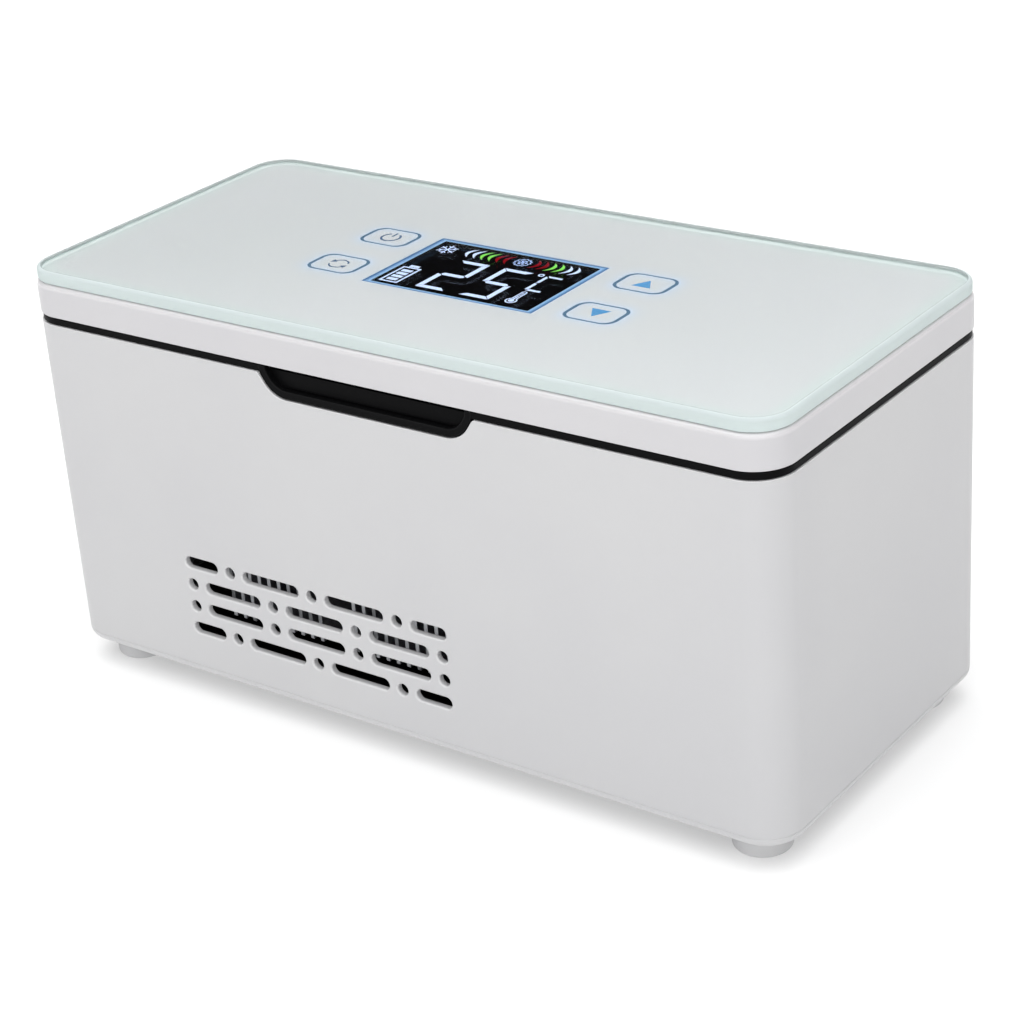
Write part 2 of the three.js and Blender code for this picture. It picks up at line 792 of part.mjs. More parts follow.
function mainBoard() {
  const top = boardBottom + boardThickness;
  const plate = block(boardLength, boardWidth, boardBottom, top, powerX);
  const holes = boardPosts.map(([x, y]) => (
    rod(postRadius / 2 + contact, boardBottom - overrun, top + overrun, powerX + x, y, screwSteps)
  ));
  const room = deckBottom - deckClearance - top;
  const parts = boardPartShares.map(([along, across, length, width, height]) => (
    block(
      length * boardLength,
      width * boardLength,
      top - contact,
      top + height * room,
      powerX + along * boardLength,
      across * boardWidth,
    )
  ));
  const capacitors = capacitorPlaceShares.map((share) => (
    rod(capacitorRadius, top - contact, top + room, powerX - boardLength / 4, share * boardWidth, screwSteps)
  ));
  return join(cut(plate, ...holes), parts, capacitors);
}

// The round power inlet at the back: a housing with a nose in the wall, a bore and a centre pin
function powerSocket() {
  const z = caseBottom + socketHeight;
  const front = backY - wall - socketLength;
  const circleAt = (radius) => circle(radius, socketX, z);
  const nose = fromFront(circleAt(socketRadius), front + overrun, backY - seam, barrelSteps);
  const half = socketBody / 2;
  const length = socketLength - seam;
  const body = block(socketBody, length, z - half, z + half, socketX, front + length / 2);
  const bore = fromFront(circleAt(socketBore), front + overrun, backY + overrun, barrelSteps);
  const pin = fromFront(circleAt(socketPin), front + socketPin, backY - wall, pinSteps);
  return join(cut(join(nose, body), bore), pin);
}

// Underside

function bottomCover() {
  const plate = upright(casePlan(coverInset + seam), caseBottom, coverTop);
  const fanStands = fanScrewPlaces.map(([x, y]) => (
    rod(postRadius, coverTop - contact, fanBottom - contact, x, y, screwSteps)
  ));
  const spigots = corners(footX, footY).map(([x, y]) => (
    rod(footSpigotRadius + contact, caseBottom - overrun, caseBottom + footSpigotHeight + contact, x, y)
  ));
  const screws = [...corners(bossX, bossY), ...fanScrewPlaces].flatMap(([x, y]) => [
    rod(screwRadius + contact, caseBottom - overrun, fanTop, x, y, screwSteps),
    rod(screwHeadRadius + contact, caseBottom - overrun, coverScrewSeat + contact, x, y, screwSteps),
  ]);
  return cut(join(plate, fanStands), ...spigots, ...screws, intakeSlots());
}

// Two opposite corner holes of each fan hold a screw
const fanScrewPlaces = coolerX.flatMap((centre) => [-1, 1].map((side) => {
  const reach = (side * fanHoleSpacing) / 2;
  return [centre + reach, reach];
}));

// Air comes in through slots under each fan
function intakeSlots() {
  const slotPitch = 2 * ventSlotHeight;
  const perFan = Math.floor((2 * fanDuctRadius) / slotPitch);
  const slots = coolerX.flatMap((x) => Array.from({ length: perFan }, (_, i) => {
    const y = (i - (perFan - 1) / 2) * slotPitch;
    const half = Math.sqrt(fanDuctRadius ** 2 - y ** 2);
    return stadium(x - half, x + half, y, ventSlotHeight);
  }));
  return upright(slots, caseBottom - overrun, coverTop + overrun, slotSteps);
}

function foot() {
  const top = footHeight - contact;
  return turned([
    [0, 0],
    ...arc(footRadius - footEdge, footEdge, footEdge, -Math.PI / 2, 0),
    [footRadius, top],
    [footSpigotRadius, top],
    [footSpigotRadius, top + footSpigotHeight],
    [0, top + footSpigotHeight],
  ]);
}

function hingePin() {
  const half = hingeLength / 2 - contact;
  return fromLeft(circle(hingePinRadius, 0, 0), -half, half, pinSteps);
}

// Lid pieces stand on the lid's own underside, which is height zero in their group

const lidDeckTop = lidHeight;
const lidDeckBottom = lidHeight - lidDeckThickness;
const hingeDrop = hingeZ - lidBottom;

function lidShell() {
  const shell = pillow(caseLength, caseDepth, cornerRadius, 0, lidHeight, lidEdge);
  const hollow = upright(casePlan(wall), -overrun, lidDeckBottom);
  const window = upright(
    roundedRectangle(panelWindowLength, panelWindowWidth, keyCorner),
    lidDeckBottom - overrun,
    lidDeckTop + overrun,
  );
  const half = lidKnuckleLength / 2;
  const barrels = hingeX.map((x) => knuckle(x - half, x + half, gussetHeight).translate(0, 0, -lidBottom));
  const bosses = corners(lidBossX, lidBossY).map(([x, y]) => (
    rod(bossRadius, linerPlate + seam, lidDeckTop - lidEdge, x, y, screwSteps)
  ));
  const holes = corners(lidBossX, lidBossY).map(([x, y]) => (
    rod(screwRadius + contact, 0, lidDeckBottom, x, y, screwSteps)
  ));
  const caseKnuckles = hingeX.flatMap((x) => [-1, 1].map((side) => {
    const length = (hingeLength - lidKnuckleLength) / 2 + seam;
    const middle = x + side * (hingeLength / 2 + seam - length / 2);
    return hingeSpan(middle, length, knuckleRadius + seam).translate(0, 0, -lidBottom);
  }));
  const pinHoles = hingeX.map((x) => (
    hingeSpan(x, hingeLength, hingePinRadius + contact).translate(0, 0, -lidBottom)
  ));
  return cut(join(cut(shell, hollow, window, ...caseKnuckles), barrels, bosses), ...holes, ...pinHoles);
}

function glassPanel() {
  const inset = 2 * glassInset;
  const bottom = lidDeckTop + contact;
  const radius = cornerRadius - glassInset;
  return pillow(caseLength - inset, caseDepth - inset, radius, bottom, bottom + glassThickness, glassEdge);
}

// The lid's inner moulding: a flat plate with a hollow plug that reaches into the chamber
function lidLiner() {
  const plate = upright(casePlan(wall + seam), 0, linerPlate);
  const plugLength = chamberLength - 2 * plugGap;
  const plugWidth = chamberWidth - 2 * plugGap;
  const plugRadius = chamberCornerRadius - plugGap;
  const plug = upright(roundedRectangle(plugLength, plugWidth, plugRadius), -plugDepth, linerPlate);
  const inside = 2 * plugWall;
  const room = upright(
    roundedRectangle(plugLength - inside, plugWidth - inside, plugRadius - plugWall),
    plugWall - plugDepth,
    linerPlate + overrun,
  );
  const groove = gasketRing(seam, -overrun, gasketDepth + contact);
  const screws = corners(lidBossX, lidBossY).flatMap(([x, y]) => [
    rod(screwRadius + contact, -overrun, linerPlate + overrun, x, y, screwSteps),
    rod(screwHeadRadius + contact, -overrun, screwHeadHeight + contact, x, y, screwSteps),
  ]);
  const magnetSeat = block(
    magnetLength + 2 * seam,
    magnetWidth + 2 * seam,
    -overrun,
    magnetThickness + contact,
    0,
    catchY,
  );
  const caseKnuckles = hingeX.map((x) => {
    const reach = knuckleRadius + seam;
    return block(hingeLength + 2 * seam, 2 * reach, -overrun, hingeDrop + reach, x, hingeY);
  });
  return cut(join(plate, plug), room, groove, ...screws, magnetSeat, ...caseKnuckles);
}

// A ring round the chamber's mouth, grown on both sides by a margin
function gasketRing(margin, from, to) {
  const mouth = (grow) => (
    roundedRectangle(mouthLength + 2 * grow, mouthWidth + 2 * grow, chamberCornerRadius + gasketMargin + grow)
  );
  return cut(
    upright(mouth(gasketWidth + margin), from, to),
    upright(mouth(-margin), from - overrun, to + overrun),
  );
}

function lidGasket() {
  return gasketRing(0, -gasketProud, gasketDepth);
}

function lidMagnet() {
  return block(magnetLength, magnetWidth, 0, magnetThickness, 0, catchY);
}

// Insulation that fills the plug, up to just under the electronics
function lidFoam() {
  const gap = 2 * (plugGap + plugWall + seam);
  const radius = chamberCornerRadius - plugGap - plugWall - seam;
  const top = lidDeckTop - displayThickness - 2 * seam;
  return upright(
    roundedRectangle(chamberLength - gap, chamberWidth - gap, radius),
    plugWall - plugDepth + seam,
    top,
  );
}

// Electronics under the glass, hung from it by adhesive pads
const panelTop = lidDeckTop;
const keyBottom = panelTop - keyThickness;
const touchBoardTop = keyBottom - contact;

function touchBoard() {
  const gap = 2 * seam;
  const board = upright(
    roundedRectangle(panelWindowLength - gap, panelWindowWidth - gap, keyCorner - seam),
    touchBoardTop - touchBoardThickness,
    touchBoardTop,
  );
  const room = block(
    displayLength + 2 * displayBorder + gap,
    displayWidth + 2 * displayBorder + gap,
    touchBoardTop - touchBoardThickness - overrun,
    touchBoardTop + overrun,
  );
  return cut(board, room);
}

function displayModule() {
  return block(displayLength, displayWidth, panelTop - displayThickness, panelTop);
}

// A light guide round the display, which glows blue through the print
function displayLightFrame() {
  const outerLength = displayLength + 2 * displayBorder;
  const outerWidth = displayWidth + 2 * displayBorder;
  const gap = 2 * contact;
  return cut(
    block(outerLength, outerWidth, panelTop - displayThickness, panelTop),
    block(
      displayLength + gap,
      displayWidth + gap,
      panelTop - displayThickness - overrun,
      panelTop + overrun,
    ),
  );
}

// A touch key doesn't move: it is a light guide and electrode between the board and the glass
function touchKey() {
  return upright(roundedRectangle(keyLength, keyWidth, keyCorner), keyBottom, panelTop);
}

// Assembly

function piece(name, shape, look, x = 0, y = 0, z = 0) {
  const data = shape.getMesh();
  const geometry = new THREE.BufferGeometry();
  geometry.setAttribute('position', new THREE.BufferAttribute(new Float32Array(data.vertProperties), 3));
  geometry.setIndex(new THREE.BufferAttribute(new Uint32Array(data.triVerts), 1));
  const faceted = geometry.toNonIndexed();
  faceted.computeVertexNormals();
  const mesh = new THREE.Mesh(faceted, look);
  mesh.name = name;
  mesh.position.set(x, y, z);
  return mesh;
}

function group(...members) {
  const made = new THREE.Group();
  made.add(...members.flat());
  return made;
}

const housing = group(
  piece('outer_case', outerCase(), whitePlastic),
  piece('rim_frame', rimFrame(), blackPlastic),
  piece('catch_plate', catchPlate(), steel),
  piece('chamber_liner', chamberLiner(), aluminium),
  piece('foam_jacket', foamJacket(), foamGrey),
  piece('temperature_probe', temperatureProbe(), steel),
  piece('cooler_deck', coolerDeck(), blackPlastic),
  piece('bottom_cover', bottomCover(), whitePlastic),
  piece('left_hinge_pin', hingePin(), steel, hingeX[0], hingeY, hingeZ),
  piece('right_hinge_pin', hingePin(), steel, hingeX[1], hingeY, hingeZ),
);

corners(footX, footY).forEach(([x, y], i) => {
  housing.add(piece(`${cornerNames[i]}_foot`, foot(), footPlastic, x, y));
});

corners(bossX, bossY).forEach(([x, y], i) => {
  housing.add(piece(`${cornerNames[i]}_case_screw`, screw(screwLength), steel, x, y, coverScrewSeat));
});

// Screws of one cooler: two clamp the heatsink from above, two hold the fan from under the bottom cover
function coolerScrews(side) {
  const clampReach = deckThickness + heatsinkBase - contact;
  const clamps = [['front', -1], ['back', 1]].map(([name, sign]) => {
    const y = (sign * deckScrewSpan) / 2;
    const clamp = piece(`${side}_${name}_clamp_screw`, screw(clampReach), steel, 0, y, deckTop + contact);
    clamp.rotation.x = Math.PI;
    return clamp;
  });
  const reach = fanHoleSpacing / 2;
  const fanScrews = [['front', -1], ['back', 1]].map(([name, sign]) => (
    piece(
      `${side}_${name}_fan_screw`,
      screw(fanTop - coverScrewSeat - contact),
      steel,
      sign * reach,
      sign * reach,
      coverScrewSeat,
    )
  ));
  return [...clamps, ...fanScrews];
}

const coolers = coolerSides.map((side, i) => {
  const cooler = group(
    piece(`${side}_cold_block`, coldBlock(), aluminium),
    piece(`${side}_peltier_module`, peltierModule(), ceramic),
    piece(`${side}_heatsink`, heatsink(), aluminium),
    piece(`${side}_fan_frame`, fanFrame(), blackPlastic),
    piece(`${side}_fan_rotor`, fanRotor(), blackPlastic),
    coolerScrews(side),
  );
  cooler.position.x = coolerX[i];
  return cooler;
});

const power = group(
  piece('battery_holder', batteryHolder(), blackPlastic),
  piece('main_board', mainBoard(), boardGreen),
  piece('power_socket', powerSocket(), blackPlastic),
);

for (let i = 0; i < cellCount; i += 1) {
  const x = powerX - (cellLength + cellNubHeight) / 2;
  const y = (i - (cellCount - 1) / 2) * cellPitch;
  const cell = piece(`battery_cell_${i + 1}`, batteryCell(), cellBlue, x, y, cellZ);
  cell.rotation.y = Math.PI / 2;
  power.add(cell);
}

const lid = group(
  piece('lid_shell', lidShell(), lidPlastic),
  piece('glass_panel', glassPanel(), frostedGlass),
  piece('lid_liner', lidLiner(), blackPlastic),
  piece('lid_gasket', lidGasket(), rubberBlack),
  piece('lid_magnet', lidMagnet(), steel),
  piece('lid_foam', lidFoam(), foamGrey),
  piece('touch_board', touchBoard(), boardGreen),
  piece('display_module', displayModule(), displayBlack),
  piece('display_light_frame', displayLightFrame(), keyBlue),
  piece('power_key', touchKey(), keyBlue, -keyX, keyY),
  piece('mode_key', touchKey(), keyBlue, -keyX, -keyY),
  piece('up_key', touchKey(), keyBlue, keyX, keyY),
  piece('down_key', touchKey(), keyBlue, keyX, -keyY),
);
corners(lidBossX, lidBossY).forEach(([x, y], i) => {
  const length = lidDeckBottom - screwHeadHeight - contact;
  lid.add(piece(`${cornerNames[i]}_lid_screw`, screw(length), steel, x, y, screwHeadHeight));
});
lid.position.z = lidBottom;

const coolingCase = group(housing, coolers, power, lid);

export default coolingCase;
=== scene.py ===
import bpy
import numpy as np
from mathutils import Matrix, Vector
from mathutils.geometry import delaunay_2d_cdt


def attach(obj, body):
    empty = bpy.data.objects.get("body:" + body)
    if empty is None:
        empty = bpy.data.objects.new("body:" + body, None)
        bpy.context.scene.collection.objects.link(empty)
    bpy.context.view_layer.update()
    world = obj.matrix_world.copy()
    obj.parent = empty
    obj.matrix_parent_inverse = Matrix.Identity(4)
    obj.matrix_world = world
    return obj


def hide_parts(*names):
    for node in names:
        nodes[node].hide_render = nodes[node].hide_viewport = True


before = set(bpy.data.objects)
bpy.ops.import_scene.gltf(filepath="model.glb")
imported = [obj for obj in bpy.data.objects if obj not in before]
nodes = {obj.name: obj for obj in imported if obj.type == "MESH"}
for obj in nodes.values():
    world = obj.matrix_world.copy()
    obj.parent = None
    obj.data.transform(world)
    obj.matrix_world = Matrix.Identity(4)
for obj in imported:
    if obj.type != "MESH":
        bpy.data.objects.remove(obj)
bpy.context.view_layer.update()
print("frame:", len(nodes), "nodes")

mm = 0.001  # shapes are worked out in millimetres and put into meshes in metres

# Camera, light and floor

cameraView = {
    "place": (0.39278, -0.50849, 0.35895),
    "right": (0.81123, 0.58081, -0.067525),
    "up": (-0.20222, 0.38703, 0.89962),
    "back": (0.54865, -0.71614, 0.43143),
    "lens": 88.19,
    "sensor": 36.0,
}

studio = {
    "walls": (0.7, 0.7, 0.7),
    "ceiling": (0.01, 0.01, 0.01),
    "wallTop": (0.17, 0.33),  # sines of the angles between which the walls give way to the ceiling
    "floorColour": (0.56, 0.56, 0.56),
    "floorSize": 30.0,
    "floorGlow": (0.35, 1.0),  # the floor's own light at its middle and by the walls
    "floorRange": (0.3, 1.6),  # metres from the middle over which the one gives way to the other
    # place, target, diameter, watts
    "lamps": {
        "overhead": ((0.0, -0.2, 2.0), (0.0, 0.0, 0.1), 4.0, 112.0),
        "front": ((0.75, -1.1, 0.5), (0.02, 0.0, 0.06), 1.8, 8.2),
        "left": ((-1.6, -1.6, 0.8), (0.0, 0.0, 0.06), 1.4, 0.6),
    },
}


# The camera's place and its three directions are those that the photo's edges gave
def addCamera():
    data = bpy.data.cameras.new("camera")
    data.lens = cameraView["lens"]
    data.sensor_width = cameraView["sensor"]
    data.clip_start = 0.01
    camera = bpy.data.objects.new("camera", data)
    columns = np.array([cameraView["right"], cameraView["up"], cameraView["back"]]).T
    turn = Matrix(columns.tolist()).to_4x4()
    camera.matrix_world = Matrix.Translation(cameraView["place"]) @ turn
    bpy.context.scene.collection.objects.link(camera)
    bpy.context.scene.camera = camera


# Round lamps, each turned to its target
def addLamps():
    for name, (place, target, size, watts) in studio["lamps"].items():
        data = bpy.data.lights.new(name, "AREA")
        data.shape = "DISK"
        data.size = size
        data.energy = watts
        lamp = bpy.data.objects.new(name, data)
        aim = Vector(target) - Vector(place)
        lamp.matrix_world = Matrix.Translation(place) @ aim.to_track_quat("-Z", "Y").to_matrix().to_4x4()
        bpy.context.scene.collection.objects.link(lamp)
    bpy.context.scene.view_settings.view_transform = "Standard"


addCamera()
addLamps()
print("camera and lamps: ready")

# Shapes: a patch is its points, the directions out of the material there, a wear value that is 1 along
# worn edges, and its triangles


# Each vector divided by its length
def unit(vectors):
    return vectors / np.maximum(np.linalg.norm(vectors, axis=-1, keepdims=True), 1e-12)


# Unit vectors (cos, sin) of angles
def spokesAt(angles):
    return np.stack([np.cos(angles), np.sin(angles)], -1)


# A chain through corners (a, b, radius) as straight runs and corner arcs. The material lies to the left, so
# a run's directions point to the right of travel. An arc's points are its middle plus radius times
# (cos, sin), and the wear of an outward arc is the sine of its share of the turn.
def runsThrough(corners, closed=False, steps=6):
    points = np.array([corner[:2] for corner in corners], float)
    radii = np.array([corner[2] if len(corner) > 2 else 0.0 for corner in corners])
    toBefore = unit(np.roll(points, 1, 0) - points)
    toAfter = unit(np.roll(points, -1, 0) - points)
    bend = toAfter[:, 0] * toBefore[:, 1] - toAfter[:, 1] * toBefore[:, 0]
    half = np.arccos(np.clip((toBefore * toAfter).sum(1), -1, 1)) / 2
    reach = np.where(radii > 0, radii / np.tan(np.maximum(half, 1e-6)), 0)
    start = points + toBefore * reach[:, None]
    end = points + toAfter * reach[:, None]
    runs = []
    for i in range(len(points)):
        if radii[i] > 0:
            side = 1 if bend[i] > 0 else -1
            middle = points[i] + unit(toBefore[i] + toAfter[i]) * radii[i] / np.sin(half[i])
            first = np.arctan2(start[i][1] - middle[1], start[i][0] - middle[0])
            turn = np.linspace(0, 1, steps + 1)
            angles = first + side * (np.pi - 2 * half[i]) * turn
            spokes = spokesAt(angles)
            wear = np.sin(np.pi * turn) * max(side, 0)
            runs.append((middle + radii[i] * spokes, side * spokes, wear))
        if closed or i < len(points) - 1:
            to = start[(i + 1) % len(points)]
            if np.hypot(*(to - end[i])) > 1e-6:
                along = unit(to - end[i])
                outward = np.array([along[1], -along[0]])
                runs.append((np.array([end[i], to]), np.array([outward, outward]), np.zeros(2)))
    return runs


# A run seen from the other side of its upright line
def mirrored(run):
    flip = np.array([-1, 1])
    return run[0] * flip, run[1] * flip, run[2]


# The runs of a chain as one line of points and directions, without repeated points
def lineOf(corners, closed=True, steps=6):
    runs = runsThrough(corners, closed, steps)
    points = np.concatenate([run[0] for run in runs])
    normals = np.concatenate([run[1] for run in runs])
    change = np.abs(points - np.roll(points, -1, 0)).sum(1) + np.abs(normals - np.roll(normals, -1, 0)).sum(1)
    keep = change > 1e-6
    keep[-1] = keep[-1] or not closed
    return points[keep], normals[keep]


# A rectangle's corners, anticlockwise
def rectangle(left, low, right, high):
    return [(left, low), (right, low), (right, high), (left, high)]


# A rounded rectangle by its size, the radius of its corners and its middle
def box(length, width, radius, x=0, y=0, steps=6):
    a, b = length / 2, width / 2
    return lineOf([(*corner, radius) for corner in rectangle(x - a, y - b, x + a, y + b)], steps=steps)


# A circle's points are its middle plus radius times (cos, sin)
def circle(radius, x=0, y=0, sides=48):
    spokes = spokesAt(np.linspace(0, 2 * np.pi, sides, endpoint=False))
    return np.array([x, y]) + radius * spokes, spokes


# A loop moved outward: each point plus its direction times the distance
def moved(loop, outward):
    return loop[0] + loop[1] * outward, loop[1]


# A plane turns (a, b, height) into a place: three directions as columns, and an origin
def plane(a, b, height, origin=(0, 0, 0)):
    return np.array([a, b, height], float).T, np.array(origin, float)


lying = plane((1, 0, 0), (0, 1, 0), (0, 0, 1))


# Points in rows as a patch: each square of four neighbours is two triangles
def asGrid(points, normals, wear, closed):
    rows, columns = points.shape[:2]
    index = np.arange(rows * columns).reshape(rows, columns)
    if closed:
        index = np.concatenate([index, index[:1]])
    a, b, c, d = index[:-1, :-1], index[1:, :-1], index[1:, 1:], index[:-1, 1:]
    triangles = np.concatenate([np.stack(corners, -1).reshape(-1, 3) for corners in ((a, b, c), (a, c, d))])
    return points.reshape(-1, 3), normals.reshape(-1, 3), wear.reshape(-1), triangles


# A run carried along a path: place(s, t) = base(s) + outward(s) * across(t) + upward(s) * up(t)
def sweep(base, outward, upward, run, closed=False):
    line, facing, wear = run
    points = base[:, None] + outward[:, None] * line[None, :, :1] + upward[:, None] * line[None, :, 1:]
    normals = outward[:, None] * facing[None, :, :1] + upward[:, None] * facing[None, :, 1:]
    return asGrid(points, normals, np.broadcast_to(wear, points.shape[:2]).copy(), closed)


# A run carried round a loop that lies in a plane
def around(loop, run, at=lying, closed=True):
    turn, origin = at
    flat = np.pad(loop[0], ((0, 0), (0, 1)))
    outward = np.pad(loop[1], ((0, 0), (0, 1)))
    upward = np.broadcast_to(turn[:, 2], flat.shape)
    return sweep(flat @ turn.T + origin, outward @ turn.T, upward, run, closed)


# A whole chain carried round a loop
def wrapped(loop, corners, steps=6, at=lying, closed=True):
    return [around(loop, run, at, closed) for run in runsThrough(corners, steps=steps)]


# A chain of (radius, height) turned about an upright line
def turned(corners, x=0, y=0, sides=64, steps=5, at=lying):
    middle = (np.full((sides, 2), (x, y), float), circle(1, sides=sides)[1])
    return wrapped(middle, corners, steps, at)


# The level area inside the first loop and outside the others, cut into Delaunay triangles; a triangle
# stays where a line from its middle crosses the loops an odd number of times
def level(loops, height, facing=1, at=lying):
    turn, origin = at
    points = np.concatenate([loop[0] for loop in loops])
    firsts = np.cumsum([0] + [len(loop[0]) for loop in loops])
    follow = np.concatenate([
        np.roll(np.arange(len(loop[0])), -1) + first for loop, first in zip(loops, firsts)
    ])
    edges = np.stack([np.arange(len(points)), follow], 1)
    found = delaunay_2d_cdt([Vector(p) for p in points.tolist()], edges.tolist(), [], 0, 1e-6)
    same = np.array([ids[0] for ids in found[3]])
    triangles = same[np.array(found[2])]
    middle = points[triangles].mean(1)[:, None]
    here, there = points[None], points[follow][None]
    with np.errstate(divide="ignore", invalid="ignore"):
        share = (middle[..., 1] - here[..., 1]) / (there[..., 1] - here[..., 1])
        meets = here[..., 0] + share * (there[..., 0] - here[..., 0])
    crosses = ((here[..., 1] > middle[..., 1]) != (there[..., 1] > middle[..., 1])) & (middle[..., 0] < meets)
    inside = crosses.sum(1) % 2 == 1
    flat = np.pad(points, ((0, 0), (0, 1)), constant_values=height) @ turn.T + origin
    normals = np.broadcast_to(turn[:, 2] * facing, flat.shape)
    return flat, normals, np.zeros(len(flat)), triangles[inside]


# A plate between two heights: the first loop is its outside and the others are holes; its edges are arcs
def plate(loops, low, high, edge=0.3, lowEdge=None, at=lying, steps=3):
    lowEdge = edge if lowEdge is None else lowEdge
    start = [(-lowEdge, low), (0, low, lowEdge)] if lowEdge > 0 else [(0, low)]
    end = [(0, high, edge), (-edge, high)] if edge > 0 else [(0, high)]
    patches = []
    for run in runsThrough(start + end, steps=steps):
        patches += [around(loop, run if i == 0 else mirrored(run), at) for i, loop in enumerate(loops)]
    for height, inset, facing in ((high, edge, 1), (low, lowEdge, -1)):
        rims = [moved(loop, inset if i else -inset) for i, loop in enumerate(loops)]
        patches.append(level(rims, height, facing, at))
    return patches


# The patches become one mesh: points closer than a tenth of a micrometre are joined, each triangle is
# turned so that it faces the way its directions point, and the directions become the shading normals
def makePiece(name, patches, finish, body, stands=()):
    counts = np.cumsum([0] + [len(patch[0]) for patch in patches])
    points = np.concatenate([patch[0] for patch in patches])
    normals = unit(np.concatenate([patch[1] for patch in patches]))
    wear = np.concatenate([patch[2] for patch in patches])
    triangles = np.concatenate([patch[3] + count for patch, count in zip(patches, counts)])
    a, b, c = (points[triangles[:, i]] for i in range(3))
    away = (np.cross(b - a, c - a) * normals[triangles].sum(1)).sum(1) < 0
    triangles[away] = triangles[away][:, ::-1]
    keys, first, joined = np.unique(
        np.floor(points * 1e4 + 0.37).astype(np.int64), axis=0, return_index=True, return_inverse=True
    )
    joined = joined.reshape(-1)
    welded = joined[triangles]
    real = (welded[:, 0] != welded[:, 1]) & (welded[:, 1] != welded[:, 2]) & (welded[:, 2] != welded[:, 0])
    welded, corners = welded[real], triangles[real]
    mesh = bpy.data.meshes.new(name)
    mesh.from_pydata((points[first] * mm).tolist(), [], welded.tolist())
    shade = np.zeros(len(first))
    np.maximum.at(shade, joined, wear)
    mesh.attributes.new("wear", "FLOAT", "POINT").data.foreach_set("value", shade.astype(np.float32))
    mesh.polygons.foreach_set("use_smooth", np.ones(len(welded), bool))
    mesh.normals_split_custom_set(normals[corners].reshape(-1, 3).tolist())
    mesh.materials.append(finish)
    piece = bpy.data.objects.new(name, mesh)
    bpy.context.scene.collection.objects.link(piece)
    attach(piece, body)
    if stands:
        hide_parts(*stands)


# Finishes: a signal is a socket with arithmetic, so that an expression adds its Math nodes


class Signal:
    def __init__(self, finish, socket):
        self.finish = finish
        self.socket = socket

    def maths(self, operation, *values):
        sockets = dict(enumerate([self, *values]))
        return self.finish.node("ShaderNodeMath", {"operation": operation}, sockets)

    def __add__(self, other):
        return self.maths("ADD", other)

    def __sub__(self, other):
        return self.maths("SUBTRACT", other)

    def __mul__(self, other):
        return self.maths("MULTIPLY", other)

    def __truediv__(self, other):
        return self.maths("DIVIDE", other)

    def __pow__(self, other):
        return self.maths("POWER", other)

    __radd__ = __add__
    __rmul__ = __mul__

    def size(self):
        return self.maths("ABSOLUTE")

    def least(self, other):
        return self.maths("MINIMUM", other)

    def most(self, other):
        return self.maths("MAXIMUM", other)

    # 0 below one value, 1 above the other, and smooth between them
    def rise(self, low, high):
        sockets = {"Value": self, "From Min": low, "From Max": high}
        return self.finish.node("ShaderNodeMapRange", {"interpolation_type": "SMOOTHSTEP"}, sockets)


class Finish:
    def __init__(self, name, roughness, **constants):
        self.material = bpy.data.materials.new(name)
        self.material.use_nodes = True
        self.tree = self.material.node_tree
        self.surface = self.tree.nodes["Principled BSDF"]
        self.surface.inputs["Roughness"].default_value = roughness
        for socket, value in constants.items():
            self.surface.inputs[socket.replace("_", " ")].default_value = value
        self.place = self.node("ShaderNodeTexCoord", {}, {}, "Object")
        self.wear = self.node("ShaderNodeAttribute", {"attribute_name": "wear"}, {}, "Fac")

    # Any node: its settings come first, then the values or links of its sockets
    def node(self, kind, settings, sockets, output=0):
        node = self.tree.nodes.new(kind)
        for key, value in settings.items():
            setattr(node, key, value)
        for key, value in sockets.items():
            if isinstance(value, Signal):
                self.tree.links.new(value.socket, node.inputs[key])
            else:
                node.inputs[key].default_value = value
        return Signal(self, node.outputs[output])

    def noise(self, scale, detail=2, stretch=(1, 1, 1)):
        place = self.node("ShaderNodeMapping", {}, {"Vector": self.place, "Scale": stretch})
        return self.node("ShaderNodeTexNoise", {}, {"Vector": place, "Scale": scale, "Detail": detail})

    # A blend of two colours; the Mix node's colours are its sockets 6 and 7, and its third output
    def mix(self, factor, first, second):
        first, second = (end if isinstance(end, Signal) else (*end[:3], 1) for end in (first, second))
        return self.node("ShaderNodeMix", {"data_type": "RGBA"}, {0: factor, 6: first, 7: second}, 2)

    def feed(self, socket, signal):
        self.tree.links.new(signal.socket, self.surface.inputs[socket])

    def bump(self, height, strength, distance):
        sockets = {"Height": height, "Strength": strength, "Distance": distance}
        self.feed("Normal", self.node("ShaderNodeBump", {}, sockets))

    # The distance to a rounded box, of which a and b are the sizes of the place: the length of what lies
    # outside its core, and below zero inside
    def roundedBox(self, a, b, halfLength, halfWidth, radius):
        over = a - (halfLength - radius)
        beside = b - (halfWidth - radius)
        outside = (over.most(0) ** 2 + beside.most(0) ** 2) ** 0.5
        return outside + over.most(beside).least(0) - radius

    def axes(self):
        split = self.node("ShaderNodeSeparateXYZ", {}, {"Vector": self.place})
        return [Signal(self, split.socket.node.outputs[i]) for i in range(3)]


# The world's shader: its place is a direction
class Sky(Finish):
    def __init__(self, world):
        self.tree = world.node_tree
        self.surface = self.tree.nodes["Background"]
        self.place = self.node("ShaderNodeTexCoord", {}, {}, "Generated")


# A colour given as it looks on a screen, from 0 to 255
def colour(red, green, blue):
    share = np.array([red, green, blue]) / 255
    linear = np.where(share <= 0.04045, share / 12.92, ((share + 0.055) / 1.055) ** 2.4)
    return tuple(float(v) for v in linear)


